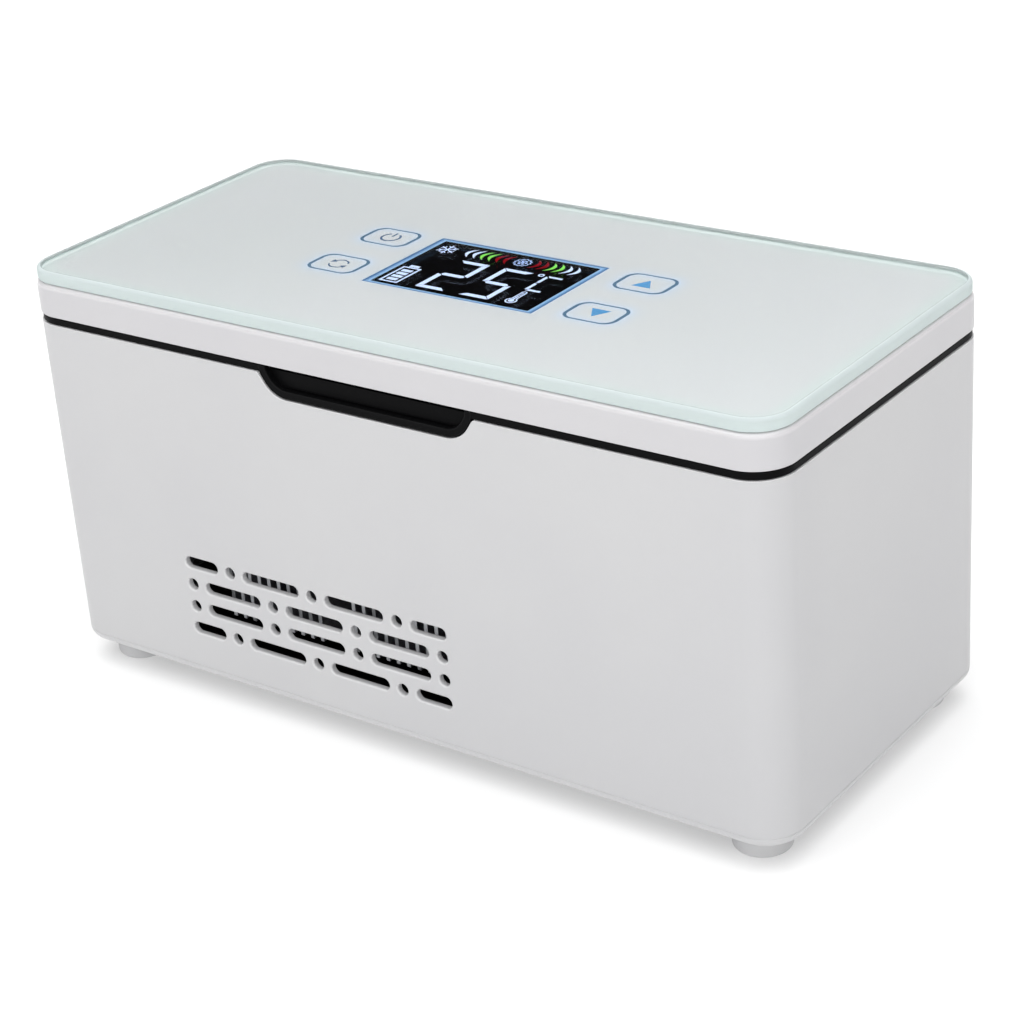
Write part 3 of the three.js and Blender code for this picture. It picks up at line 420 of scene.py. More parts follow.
# Moulded plastic: a slow cloud in the colour, fine grain in the gloss and the surface, edges that handling
# has polished, and from some height up a painted shade: the colour turns near black where the inside of the
# case lies in shade
def mouldedPlastic(name, light, dark, worn, roughness, grain=0.06, shine=0.5, paintedShadeFrom=None):
    finish = Finish(name, roughness, Specular_IOR_Level=shine)
    cloud = finish.noise(14, 4).rise(0.3, 0.7)
    speck = finish.noise(900, 2)
    base = finish.mix(cloud * 0.8 + speck * 0.2, light, dark)
    base = finish.mix(finish.wear * 0.6, base, worn)
    if paintedShadeFrom is not None:
        # painted shade: from this height up the colour is near black, for the case's inside where shade falls
        paintedShade = (finish.axes()[2] / mm).rise(paintedShadeFrom - 0.1, paintedShadeFrom)
        base = finish.mix(paintedShade, base, finish.mix(speck, colour(24, 24, 25), colour(18, 18, 19)))
    finish.feed("Base Color", base)
    finish.feed("Roughness", roughness + (speck - 0.5) * 0.03 - finish.wear * 0.08)
    finish.bump(finish.noise(2600, 3) * 0.7 + finish.noise(420, 2) * 0.3, grain, 0.0002)
    return finish.material


# Soft and dull, with a slow cloud in the colour and a fine grain
def rubber(name, light, dark, roughness):
    finish = Finish(name, roughness, Specular_IOR_Level=0.35, Sheen_Weight=0.08)
    cloud = finish.noise(40, 4)
    finish.feed("Base Color", finish.mix(cloud.rise(0.3, 0.7), light, dark))
    finish.feed("Roughness", roughness + (finish.noise(700, 3) - 0.5) * 0.15 - finish.wear * 0.05)
    finish.bump(finish.noise(3200, 4), 0.12, 0.0002)
    return finish.material


# Metal with marks drawn out along one axis, as from rolling, extruding or brushing
def drawnMetal(name, light, dark, roughness, stretch, scale=900, grain=0.08):
    finish = Finish(name, roughness, Metallic=1.0)
    marks = finish.noise(scale, 5, stretch)
    stain = finish.noise(30, 3)
    finish.feed("Base Color", finish.mix(marks * 0.6 + stain * 0.4, light, dark))
    finish.feed("Roughness", roughness + (marks - 0.5) * 0.25 + (stain - 0.5) * 0.1 - finish.wear * 0.08)
    finish.bump(marks, grain, 0.0002)
    return finish.material


# Foam by its cells: a Voronoi distance darkens and sinks their middles; the darker middles are painted shade
# in the sunk cells
def closedCellFoam(name, light, dark):
    finish = Finish(name, 0.95, Specular_IOR_Level=0.2)
    cells = finish.node("ShaderNodeTexVoronoi", {}, {"Vector": finish.place, "Scale": 900.0}, "Distance")
    # painted shade: the colour is darker in the middle of each sunk cell
    finish.feed("Base Color", finish.mix(cells.rise(0.1, 0.6), dark, light))
    finish.bump(cells, 0.5, 0.0004)
    return finish.material


# Solder mask over copper tracks: the tracks are bands of a brick pattern that show as a lighter green
def circuitBoard(name):
    finish = Finish(name, 0.42, Specular_IOR_Level=0.5)
    tracks = finish.node(
        "ShaderNodeTexBrick",
        {"offset": 0.5, "squash": 1.6},
        {
            "Vector": finish.place,
            "Scale": 160.0,
            "Mortar Size": 0.035,
            "Mortar Smooth": 0.2,
            "Brick Width": 0.9,
            "Row Height": 0.35,
        },
        "Fac",
    )
    mask = finish.mix(finish.noise(60, 3), colour(18, 84, 48), colour(26, 98, 58))
    finish.feed("Base Color", finish.mix(tracks, mask, colour(74, 138, 84)))
    finish.feed("Roughness", 0.42 + (finish.noise(500, 2) - 0.5) * 0.12)
    finish.bump(tracks + finish.noise(1500, 2) * 0.1, 0.25, 0.00004)
    return finish.material


# Fired ceramic: off-white with a fine speckle
def ceramicPlate(name):
    finish = Finish(name, 0.6)
    finish.feed("Base Color", finish.mix(finish.noise(300, 4), colour(236, 236, 230), colour(222, 221, 212)))
    finish.feed("Roughness", 0.6 + (finish.noise(1200, 3) - 0.5) * 0.2)
    finish.bump(finish.noise(2500, 3), 0.15, 0.0001)
    return finish.material


# Shrink sleeve: a blue film that wrinkles round the cell's ends; its colour is lighter on the raised folds
# and darker between them, painted light and shade
def cellSleeve(name):
    finish = Finish(name, 0.35, Coat_Weight=0.3)
    folds = finish.noise(120, 3, (0.3, 1, 1))
    # painted light and shade: the colour follows the folds' height, lighter on top, darker in the troughs
    finish.feed("Base Color", finish.mix(folds, colour(44, 104, 176), colour(58, 122, 190)))
    finish.feed("Roughness", 0.32 + folds * 0.12)
    finish.bump(folds, 0.3, 0.0003)
    return finish.material


glass = {"ior": 1.5, "blend": 0.4, "through": 0.5}


# Clear glass whose edges are ground: by the distance to its outline, the clear finish gives way to one that
# scatters light back and lets light through, greener down the edge; the mint of the sides is the glass's own,
# while the top of the ground edge, which faces the overhead lamp, is painted darker and greyer: painted shade
def clearGlass(name):
    finish = Finish(name, 0.02, Transmission_Weight=1.0, IOR=glass["ior"])
    finish.feed("Base Color", finish.mix(finish.noise(25, 2), (0.985, 0.998, 0.995), (0.99, 1.0, 0.998)))
    finish.feed("Roughness", finish.noise(9, 3).rise(0.35, 0.75) * 0.01 + 0.005)
    x, y, z = (axis / mm for axis in finish.axes())
    distance = finish.roundedBox(x.size(), y.size(), *planSizes(panel["inset"]))
    grain = finish.noise(60, 3)
    # the sides' mint is the glass's own colour; the darker grey top is painted shade where the edge faces the
    # lamp
    side = finish.mix(grain, colour(224, 236, 235), colour(221, 233, 232))
    top = finish.mix(grain, colour(211, 220, 221), colour(208, 217, 218))
    height = z.rise(panel["high"] - panel["edge"] * 1.3, panel["high"] - 0.1)
    scatter = finish.node(
        "ShaderNodeBsdfPrincipled",
        {},
        {"Base Color": finish.mix(height, side, top), "Roughness": 0.5, "Specular IOR Level": 0.1},
    )
    through = finish.node("ShaderNodeBsdfTranslucent", {}, {"Color": (0.75, 0.79, 0.785, 1.0)})
    ground = finish.node("ShaderNodeMixShader", {}, {0: glass["through"], 1: scatter, 2: through})
    share = distance.rise(-panel["edge"] - glass["blend"], -panel["edge"])
    clear = Signal(finish, finish.surface.outputs[0])
    both = finish.node("ShaderNodeMixShader", {}, {0: share, 1: clear, 2: ground})
    finish.tree.links.new(both.socket, finish.tree.nodes["Material Output"].inputs["Surface"])
    return finish.material


satinWhite = colour(188, 188, 189), colour(184, 184, 186), colour(201, 201, 202), 0.36
finishes = {
    "casePlastic": mouldedPlastic("satin white plastic", *satinWhite),
    # the cover's face inside the case is painted near black from 9.8 mm up: painted shade
    "coverPlastic": mouldedPlastic("satin white plastic with painted shade inside", *satinWhite, paintedShadeFrom=9.8),
    "lidPlastic": mouldedPlastic(
        "polished white plastic",
        colour(190, 189, 191),
        colour(186, 185, 188),
        colour(203, 201, 203),
        0.34,
        0.04,
    ),
    "darkPlastic": mouldedPlastic(
        "black moulded plastic", colour(13, 13, 14), colour(10, 10, 11), colour(27, 27, 28), 0.4, 0.1, 0.035
    ),
    "fanPlastic": mouldedPlastic(
        "black fan plastic", colour(19, 19, 20), colour(14, 14, 15), colour(34, 34, 35), 0.4, 0.08, 0.25
    ),
    "liningPlastic": mouldedPlastic(
        "dark lining plastic", colour(44, 45, 47), colour(36, 37, 39), colour(62, 63, 65), 0.5, 0.12
    ),
    "footRubber": rubber("pale foot rubber", colour(200, 200, 201), colour(191, 191, 193), 0.55),
    "sealRubber": rubber("black seal rubber", colour(28, 28, 28), colour(20, 20, 20), 0.7),
    "extrudedAluminium": drawnMetal(
        "extruded aluminium", colour(206, 208, 211), colour(176, 178, 182), 0.4, (1, 0.05, 1)
    ),
    "tubAluminium": drawnMetal(
        "brushed aluminium", colour(214, 216, 218), colour(192, 194, 198), 0.36, (0.04, 0.04, 1), 1400
    ),
    "steel": drawnMetal(
        "plated steel", colour(204, 205, 207), colour(166, 167, 170), 0.3, (1, 1, 0.2), 1100, 0.05
    ),
    "foam": closedCellFoam("closed-cell foam", colour(226, 223, 214), colour(204, 200, 190)),
    "ceramic": ceramicPlate("ceramic"),
    "board": circuitBoard("circuit board"),
    "sleeve": cellSleeve("cell sleeve"),
}
print("finishes:", len(finishes))

# Sizes that several pieces share

case = {
    "length": 245.0,
    "depth": 112.0,
    "radius": 11.2,
    "wall": 2.0,
    "bottom": 7.4,
    "top": 109.4,
    "bottomEdge": 3.0,
    "crease": (0.12, 0.3),  # depth and height
    "topEdge": 0.2,
    "innerEdge": 0.2,
    "flange": 5.0,
    "cover": 2.5,
    "bosses": (95.0, 48.0),
    "boss": (1.4, 3.5, 10.2, 20.2),  # bore, radius, foot and top
    "cornerSteps": 22,
}
hinge = {
    "x": 70.0,
    "y": 55.4,
    "z": 110.6,
    "radius": 3.0,
    "length": 30.0,
    "middle": 13.4,  # length of the lid's knuckle
    "web": 8.0,  # height of the foot that carries a barrel
    "pin": 1.25,
    "gap": 0.3,
    "reach": 15.3,  # from a hinge's middle to the ends of its room
}
cornerSides = {"front_left": (-1, -1), "front_right": (1, -1), "back_right": (1, 1), "back_left": (-1, 1)}
fans = {"left": -46.5, "right": -1.3}
inlet = {
    "x": 105.0,
    "z": 22.4,
    "hole": 4.3,
    "radius": 4.0,
    "bore": 3.15,
    "lip": 0.35,
    "pin": 1.0,
    "body": 10.5,
    # each part's depths behind the wall
    "noseDepth": 12.0,
    "bodyDepths": (13.3, 2.3),
    "plugDepths": (13.2, 11.7),
    "pinDepths": (12.5, 2.2),
}
notch = {"top": 35.6, "floor": 31.2, "depth": 6.7, "flare": 1.4, "ease": 9.0}  # half widths, depth and radii
cornerX = case["length"] / 2 - case["radius"]
frontY = -case["depth"] / 2
backY = case["depth"] / 2
planLoop = box(case["length"], case["depth"], case["radius"], steps=case["cornerSteps"])


# Half the length, half the depth and the corner radius of the plan, each less an inset
def planSizes(inset):
    return case["length"] / 2 - inset, case["depth"] / 2 - inset, case["radius"] - inset


frontWall = plane((1, 0, 0), (0, 0, 1), (0, -1, 0), (0, frontY, 0))
backWall = plane((1, 0, 0), (0, 0, 1), (0, 1, 0), (0, backY, 0))

# The case: a thin wall round the plan, with the finger notch, the vents and the inlet's hole

vents = {
    "height": 3.5,
    "pitch": 29.8,
    "rowPitch": 7.03,
    "rows": 4,
    "middle": -25.6,
    "half": 46.5,
    "dotGap": 4.7,
    "lowest": 23.1,
    "edge": 0.6,
}


# Slots and dots in rows that alternate like bricks
def ventLoops():
    loops = []
    radius = vents["height"] / 2
    for row in range(vents["rows"]):
        z = vents["lowest"] + row * vents["rowPitch"]
        outer = row in (0, vents["rows"] - 1)
        dots = vents["middle"] + vents["pitch"] * np.array([-1, 0, 1] if outer else [-1.5, -0.5, 0.5, 1.5])
        loops += [circle(radius, x, z, 32) for x in dots]
        starts, ends = list(dots + vents["dotGap"]), list(dots - vents["dotGap"])
        if outer:
            starts.insert(0, vents["middle"] - vents["half"])
            ends.append(vents["middle"] + vents["half"])
        else:
            starts.pop()
            ends.pop(0)
        loops += [box(b - a, vents["height"], radius, (a + b) / 2, z, 8) for a, b in zip(starts, ends)]
    return loops


# The notch's line from right to left, between two ends at one height
def notchLine(x, height, flare, steps):
    floor = case["top"] - notch["depth"]
    half = [(x, height), (notch["top"], case["top"], flare), (notch["floor"], floor, notch["ease"])]
    return lineOf(half + [(-end, *rest) for end, *rest in half[::-1]], False, steps)


# The front edge of the case from left to right, with the notch dipping below it
def frontEdge():
    points, normals = notchLine(cornerX, case["top"], notch["flare"], 10)
    return points[::-1], normals[::-1]


# The back edge of the case or the lid from right to left, with a recess at each barrel of the other one
def backEdge(height, floor, spans):
    chain = [(cornerX, height)]
    for right, left in spans:
        chain += [(right, height, 0.3), (right, floor, 0.3), (left, floor, 0.3), (left, height, 0.3)]
    return lineOf([*chain, (-cornerX, height)], False, 4)


# A wall's rounded edge, carried round the plan: edge(s) = corners at one height, joined by the back line
# and the front line; way is 1 where the edge looks up and -1 where it looks down
def wallEdge(height, way, front, back, edge, inner):
    wall, half = case["wall"], 2 * (case["cornerSteps"] + 1)
    points, normals = planLoop
    order = np.roll(np.arange(2 * half), -half // 2)
    bends = np.pad(points[order], ((0, 0), (0, 1)), constant_values=height)
    facing = np.pad(normals[order], ((0, 0), (0, 1)))
    upright = np.tile([0.0, 0.0, way], (half, 1))
    backPoints, frontPoints = (
        np.insert(line[0][1:-1], 1, y, axis=1) for line, y in ((back, backY), (front, frontY))
    )
    backUp, frontUp = np.insert(way * back[1][1:-1], 1, 0, axis=1), np.insert(front[1][1:-1], 1, 0, axis=1)
    base = np.concatenate([bends[:half], backPoints, bends[half:], frontPoints])
    outward = np.concatenate([
        facing[:half], backPoints * 0 + (0, 1, 0), facing[half:], frontPoints * 0 + (0, -1, 0)
    ])
    upward = np.concatenate([upright, backUp, upright, frontUp])
    chain = [(0, -edge), (0, 0, edge), (-wall, 0, inner), (-wall, -inner)]
    return [sweep(base, outward, upward, run, True) for run in runsThrough(chain, steps=4)]


# A long wall's flat area, from a lower height up to its upper line and without the holes
def wallPanel(lower, upperLine, holes, at, depth, edge, facing):
    lowerLine = np.array([(cornerX, lower), (-cornerX, lower)])
    boundary = (np.concatenate([upperLine, lowerLine]), None)
    return level([boundary, *[moved(hole, edge) for hole in holes]], depth, facing, at)


# A hole's wall: rounded at the outside, straight, and slightly rounded at the inside
def holeWalls(loops, at, edge):
    wall, inner = case["wall"], case["innerEdge"]
    chain = [(-inner, -wall), (0, -wall, inner), (0, 0, edge), (-edge, 0)]
    return [around(loop, mirrored(run), at) for loop in loops for run in runsThrough(chain, steps=4)]


# The same place in each quarter of the plan
def fourPlaces(x, y):
    return [(a, b) for a in (-x, x) for b in (-y, y)]


# The case: its top edge, its flanged foot with a crease, its wall round both ends, then the two long walls
# with their holes, and last the knuckles and the screw bosses
def casePatches():
    wall, edge, inner = case["wall"], case["topEdge"], case["innerEdge"]
    count = case["cornerSteps"] + 1
    points, normals = planLoop
    (creaseDepth, creaseHeight), flange = case["crease"], case["flange"]
    top, bottom, shelf = case["top"], case["bottom"], case["bottom"] + case["cover"]
    low = bottom + case["bottomEdge"] + creaseHeight
    front, half = frontEdge(), hinge["middle"] / 2 + hinge["gap"]
    spans = [(x + half, x - half) for x in (hinge["x"], -hinge["x"])]
    back = backEdge(top, hinge["z"] - hinge["radius"] - hinge["gap"], spans)
    patches = wallEdge(top, 1, front, back, edge, inner)
    section = [
        (-wall, shelf),
        (-flange, shelf, 0.3),
        (-flange, bottom, 0.3),
        (0, bottom, case["bottomEdge"]),
        (0, low - creaseHeight),
        (-creaseDepth, low - creaseHeight / 2),
        (0, low),
    ]
    patches += wrapped(planLoop, section, 8)
    right, left = np.arange(count, 3 * count), np.r_[3 * count : 4 * count, 0:count]
    for side in (right, left):
        bend = (points[side], normals[side])
        for line in ([(0, low), (0, top - edge)], [(-wall, top - inner), (-wall, shelf)]):
            patches += wrapped(bend, line, closed=False)
    socket = circle(inlet["hole"], inlet["x"], inlet["z"], 48)
    for at, holes, line in ((frontWall, ventLoops(), front), (backWall, [*ventLoops(), socket], back)):
        upper = line if at is frontWall else (line[0][::-1], line[1][::-1])
        patches.append(wallPanel(low, moved(upper, -edge)[0], holes, at, 0, vents["edge"], 1))
        patches.append(wallPanel(shelf, moved(upper, -inner)[0], holes, at, -wall, inner, -1))
        patches += holeWalls(holes, at, vents["edge"])
    for x in (-hinge["x"], hinge["x"]):
        end = hinge["length"] / 2
        for a, b in ((x - end, x - half), (x + half, x + end)):
            patches += knuckle(a, b, -1)
    bore, radius, start, end = case["boss"]
    boss = [(bore, start), (radius, start, 0.3), (radius, end, 0.3), (bore, end), (bore, start)]
    for x, y in fourPlaces(*case["bosses"]):
        patches += turned(boss, x, y)
    return patches


# A hinge barrel with the web that carries it down the case or up the lid
def knuckle(start, end, way):
    at = plane((0, 1, 0), (0, 0, 1), (1, 0, 0), (0, 0, 0))
    radius = hinge["radius"]
    barrel = circle(radius, hinge["y"], hinge["z"], 40)
    pin = circle(hinge["pin"], hinge["y"], hinge["z"], 24)
    inside = backY - case["wall"] / 2
    reach = hinge["z"] + way * hinge["web"]
    corners = [
        (inside, hinge["z"], 0.3),
        (inside, reach, 0.3),
        (backY + 0.1, reach, 0.1),
        (hinge["y"] + radius - 0.05, hinge["z"] + way * 0.8, 0.6),
        (hinge["y"] + radius - 0.3, hinge["z"], 0.2),
    ]
    web = lineOf(corners if way < 0 else corners[::-1], steps=4)
    return plate([barrel, pin], start, end, 0.35, at=at) + plate([web], start + 0.02, end - 0.02, 0.1, at=at)


# A back edge's corners, from right to left, where it gives room to the two hinges
def hingeRooms(y):
    reach, floor = hinge["reach"], hinge["y"] - hinge["radius"] - hinge["gap"]
    rooms = []
    for x in (hinge["x"], -hinge["x"]):
        right, left = x + reach, x - reach
        rooms += [(right, y, 0.4), (right, floor, 0.6), (left, floor, 0.6), (left, y, 0.4)]
    return rooms


makePiece("case_shell", casePatches(), finishes["casePlastic"], "case", ["outer_case"])
print("case: made")

# The black frame between case and lid: a flat ring round the chamber's mouth and the finger pocket

catch = {"strip": (20.0, 5.0), "room": (20.6, 5.6), "y": -38.8}
catchRoom = box(*catch["room"], 0.5, 0, catch["y"], 4)
catchStrip = box(*catch["strip"], 0.4, 0, catch["y"], 4)
rim = {
    "inset": 0.4,
    "low": 109.55,
    "high": 111.5,
    "edge": 0.3,
    "lip": 2.2,
    "gap": 0.3,
    "flare": 6.0,
    "pocket": 9.0,
    "back": 1.8,
    "fillet": 2.1,
    "proud": 0.2,
    "mouth": (196.0, 54.0, 8.0),
    "pocketRoom": (1.2, 0.9),  # the ring overlaps the pocket at its sides and its back
    "skirt": (2.3, 3.9),  # from the case's outside to the skirt's faces
    "skirtEnds": (4.0, 0.5),  # below the ring's lower face and above it
}


# The flat ring with its openings, the skirt that hangs from it, and the pocket
def rimPatches():
    x, y, radius = planSizes(rim["inset"])
    aside, behind = rim["pocketRoom"]
    side, pocketBack = notch["top"] - aside, rim["pocket"] + behind - y
    pocket = [(-side, -y, 0.3), (-side, pocketBack, 0.5), (side, pocketBack, 0.5), (side, -y, 0.3)]
    outline = [(-x, -y, radius), *pocket, (x, -y, radius), (x, y, radius), *hingeRooms(y), (-x, y, radius)]
    loops = [lineOf(outline, steps=case["cornerSteps"]), box(*rim["mouth"], steps=12), catchRoom]
    patches = plate(loops, rim["low"], rim["high"], rim["edge"], steps=4)
    below, above = rim["skirtEnds"]
    for loop in skirtLoops():
        patches += plate([loop], rim["low"] - below, rim["low"] + above, 0)
    return patches + pocketPatches()


# The skirt inside the case's wall: one part runs round from hinge to hinge, one stands between them
def skirtLoops():
    near, far = rim["skirt"]
    end, middle = hinge["x"] + hinge["reach"], hinge["x"] - hinge["reach"]

    def bends(inset):
        x, y, radius = planSizes(inset)
        return [(-x, y, radius), (-x, -y, radius), (x, -y, radius), (x, y, radius)]

    chain = [(-end, backY - near), *bends(near), (end, backY - near)]
    chain += [(end, backY - far), *bends(far)[::-1], (-end, backY - far)]
    return [
        lineOf(chain, steps=case["cornerSteps"]),
        box(2 * middle, far - near, 0, 0, backY - (near + far) / 2),
    ]


# The pocket: its profile (towards the opening, depth) is carried along the notch, from the gap to the case
# over the lip and down to a rounded corner with the back wall
def pocketPatches():
    high = rim["high"] - 0.02
    points, normals = notchLine(notch["top"], high, rim["flare"], 12)
    front = frontY + rim["inset"] - rim["proud"]
    depth = rim["pocket"] + rim["proud"]
    base = np.insert(points, 1, front, axis=1)
    outward = np.insert(normals, 1, 0, axis=1)
    inward = np.tile([0.0, 1.0, 0.0], (len(points), 1))
    gap, lip, fillet, end = rim["gap"], rim["gap"] + rim["lip"], rim["fillet"], depth + rim["back"]
    profile = [(gap, end), (gap, 0, 0.4), (lip, 0, 0.5), (lip, depth, fillet), (lip + fillet, depth)]
    runs = runsThrough(profile, steps=7)
    patches = [sweep(base, outward, inward, (line, -facing, wear)) for line, facing, wear in runs]
    atFront = plane((1, 0, 0), (0, 0, 1), (0, -1, 0), (0, front, 0))
    patches.append(level([(points + normals * (lip + fillet), None)], -depth, 1, atFront))
    patches.append(level([(points + normals * gap, None)], -end, -1, atFront))
    line = np.concatenate([run[0] for run in runs])
    rightSide = np.stack([points[0, 0] - line[:, 0], front + line[:, 1]], 1)
    leftSide = np.stack([points[-1, 0] + line[:, 0], front + line[:, 1]], 1)
    patches.append(level([(np.concatenate([rightSide, leftSide[::-1]]), None)], high, 1))
    return patches


makePiece("rim_frame_moulding", rimPatches(), finishes["darkPlastic"], "case", ["rim_frame"])
strip = plate([catchStrip], rim["high"] - 1, rim["high"], 0.15)
makePiece("catch_strip", strip, finishes["steel"], "case", ["catch_plate"])
print("rim frame: made")

# The aluminium tub, hung by its flange: its section is carried round the mouth

tub = {
    "length": 197.2,
    "width": 55.2,
    "radius": 8.6,
    "top": 109.4,
    "floor": 59.4,
    "wall": 1.5,
    "flange": 6.5,
    "bend": 2.5,
}


# The section runs from under the floor out and up, over the flange, and down the inside to the floor
def tubPatches():
    loop = box(tub["length"], tub["width"], tub["radius"], steps=14)
    wall, bend = tub["wall"], tub["bend"]
    section = [
        (-bend - wall, tub["floor"] - wall),
        (wall, tub["floor"] - wall, bend + wall),
        (wall, tub["top"] - wall, 0.6),
        (tub["flange"], tub["top"] - wall, 0.2),
        (tub["flange"], tub["top"], 0.2),
        (0, tub["top"], 1.0),
        (0, tub["floor"], bend),
        (-bend - wall, tub["floor"]),
    ]
    patches = wrapped(loop, section)
    floorLoop = [moved(loop, -bend - wall)]
    patches.append(level(floorLoop, tub["floor"], 1))
    patches.append(level(floorLoop, tub["floor"] - wall, -1))
    return patches


makePiece("chamber_tub", tubPatches(), finishes["tubAluminium"], "case", ["chamber_liner"])
print("tub: made")

# Underside: the cover with its intake slots, the feet and the screw heads

cover = {
    "inset": 5.3,
    "fanScrews": 16.0,  # from a fan's middle to its screws, along both axes
    "slotPitch": 7.0,
    "slotWidth": 3.5,
    "ductRadius": 18.7,
    "edge": 0.1,
}
foot = {
    "at": (108.5, 42.0),
    "radius": 8.0,
    "height": 7.25,
    "edge": 1.2,
    "spigot": 3.0,
    "hollow": 3.2,
    "pit": 1.2,
}
screws = {
    # radius of the head, heights of its face and its seat, radius of the shank, height of the tip
    "case": (2.35, 7.4, 8.8, 1.25, 16.8),
    "fan": (2.6, 7.4, 8.8, 1.25, 24.9),
    "lid": (2.6, 111.8, 113.2, 1.25, 119.3),
}
cross = {"arm": 0.32, "reach": 0.68, "fade": 0.35, "depth": 0.8, "taper": 1.4, "rounding": 0.35}


# A plate with a grille of slots under each fan, each as long as the duct is wide there, and round holes
def coverPatches():
    outside = moved(planLoop, -cover["inset"])
    slots, width, reach = [], cover["slotWidth"], cover["fanScrews"]
    for x in fans.values():
        for i in range(-2, 3):
            y = i * cover["slotPitch"]
            half = np.sqrt(cover["ductRadius"] ** 2 - y**2)
            slots.append(box(2 * half, width, width / 2, x, y, 8))
    holes = [circle(screws["case"][0] + 0.1, x, y, 32) for x, y in fourPlaces(*case["bosses"])]
    holes += [circle(screws["fan"][0] + 0.15, x + s, s, 32) for x in fans.values() for s in (-reach, reach)]
    holes += [circle(foot["spigot"] + 0.15, x, y, 32) for x, y in fourPlaces(*foot["at"])]
    low, high = case["bottom"], case["bottom"] + case["cover"]
    return plate([outside, *slots, *holes], low, high, cover["edge"])


# A round foot with a pit below and a spigot above
def footPatches(x, y):
    radius, edge, height, spigot = foot["radius"], foot["edge"], foot["height"], foot["spigot"]
    profile = [
        (0, foot["pit"]),
        (foot["hollow"] - 0.6, foot["pit"], 0.4),
        (foot["hollow"], 0, 0.5),
        (radius, 0, edge),
        (radius, height, 0.25),
        (spigot, height, 0.2),
        (spigot, height + 2, 0.3),
        (0, height + 2),
    ]
    return turned(profile, x, y, steps=8)


# A screw: its head has a cross recess whose depth is a bell of the distance to the nearer arm's line, over
# a grid of radius and angle; the rest is a turned profile
def screwPatches(x, y, kind):
    sides, rings = 48, 16
    radius, face, seat, shank, tip = screws[kind]
    spokes, rounding = circle(1, sides=sides)[1], cross["rounding"]
    radii = np.linspace(0, radius - rounding, rings)
    a, b = np.abs(spokes[:, None, 0] * radii), np.abs(spokes[:, None, 1] * radii)
    along, aside = np.maximum(a, b), np.minimum(a, b)
    bell = np.exp(-((aside / cross["arm"]) ** 4))
    arm = bell * np.clip((cross["reach"] * radius - along) / cross["fade"], 0, 1)
    heights = face + cross["depth"] * arm * np.clip(1 - along / (cross["taper"] * radius), 0, 1)
    points = np.stack([x + spokes[:, None, 0] * radii, y + spokes[:, None, 1] * radii, heights], -1)
    slopeR = np.gradient(heights, radii, axis=1)
    twoSteps = 4 * np.pi / sides * np.maximum(radii, 0.08)
    slopeA = (np.roll(heights, -1, 0) - np.roll(heights, 1, 0)) / twoSteps
    tangent = np.stack([-spokes[:, 1], spokes[:, 0]], 1)
    lean = spokes[:, None] * slopeR[..., None] + tangent[:, None] * slopeA[..., None]
    normals = unit(np.concatenate([lean, -np.ones_like(heights)[..., None]], -1))
    patches = [asGrid(points, normals, np.zeros(heights.shape), True)]
    chain = [(radius - rounding, face), (radius, face, rounding), (radius, seat, 0.1)]
    return patches + turned([*chain, (shank, seat), (shank, tip), (0, tip)], x, y, sides=sides)


coverFinish = finishes["coverPlastic"]
makePiece("underside_cover", coverPatches(), coverFinish, "case", ["bottom_cover"])
for corner, (sideX, sideY) in cornerSides.items():
    patches = footPatches(sideX * foot["at"][0], sideY * foot["at"][1])
    label = f"{corner}_foot"
    makePiece(f"{label}_pad", patches, finishes["footRubber"], "case", [label])
for corner, (sideX, sideY) in cornerSides.items():
    patches = screwPatches(sideX * case["bosses"][0], sideY * case["bosses"][1], "case")
    makePiece(f"{corner}_cover_screw", patches, finishes["steel"], "case", [f"{corner}_case_screw"])
for side, x in fans.items():
    for row, reach in (("front", -cover["fanScrews"]), ("back", cover["fanScrews"])):
        patches = screwPatches(x + reach, reach, "fan")
        label = f"{side}_{row}_fan_screw"
        makePiece(f"{label}_crosshead", patches, finishes["steel"], "case", [label])
print("underside: made")

# The round power inlet in the back wall


# A hollow nose in the wall, a square body behind it, a plug that closes its bore, and a contact pin
def inletPatches():
    x, z, radius, bore, lip, pin = (inlet[key] for key in ("x", "z", "radius", "bore", "lip", "pin"))
    end, (bodyEnd, bodyStart) = inlet["noseDepth"], inlet["bodyDepths"]
    (plugEnd, plugStart), (pinEnd, pinStart) = inlet["plugDepths"], inlet["pinDepths"]
    nose = [(bore, -end), (bore, -lip, lip), (radius, -lip, lip), (radius, -end)]
    middle = (np.full((48, 2), (x, z), float), circle(1, sides=48)[1])
    runs = runsThrough(nose, steps=4)
    patches = [around(middle, (line, -facing, wear), backWall) for line, facing, wear in runs]
    patches.append(level([circle(radius, x, z, 48), circle(bore, x, z, 48)], -end, -1, backWall))
    body = [box(inlet["body"], inlet["body"], 0.6, x, z, 4), circle(bore + 0.02, x, z, 48)]
    patches += plate(body, -bodyEnd, -bodyStart, 0.2, at=backWall)
    patches += plate([circle(bore + 0.2, x, z, 48)], -plugEnd, -plugStart, 0.1, at=backWall)
    contact = [(0, -pinEnd), (pin, -pinEnd), (pin, -pinStart, 0.5), (0, -pinStart)]
    return patches + turned(contact, x, z, at=backWall)


makePiece("inlet_socket", inletPatches(), finishes["darkPlastic"], "case", ["power_socket"])
print("inlet: made")

# The lid: its rounded shell, the printed layer, and the glass over it

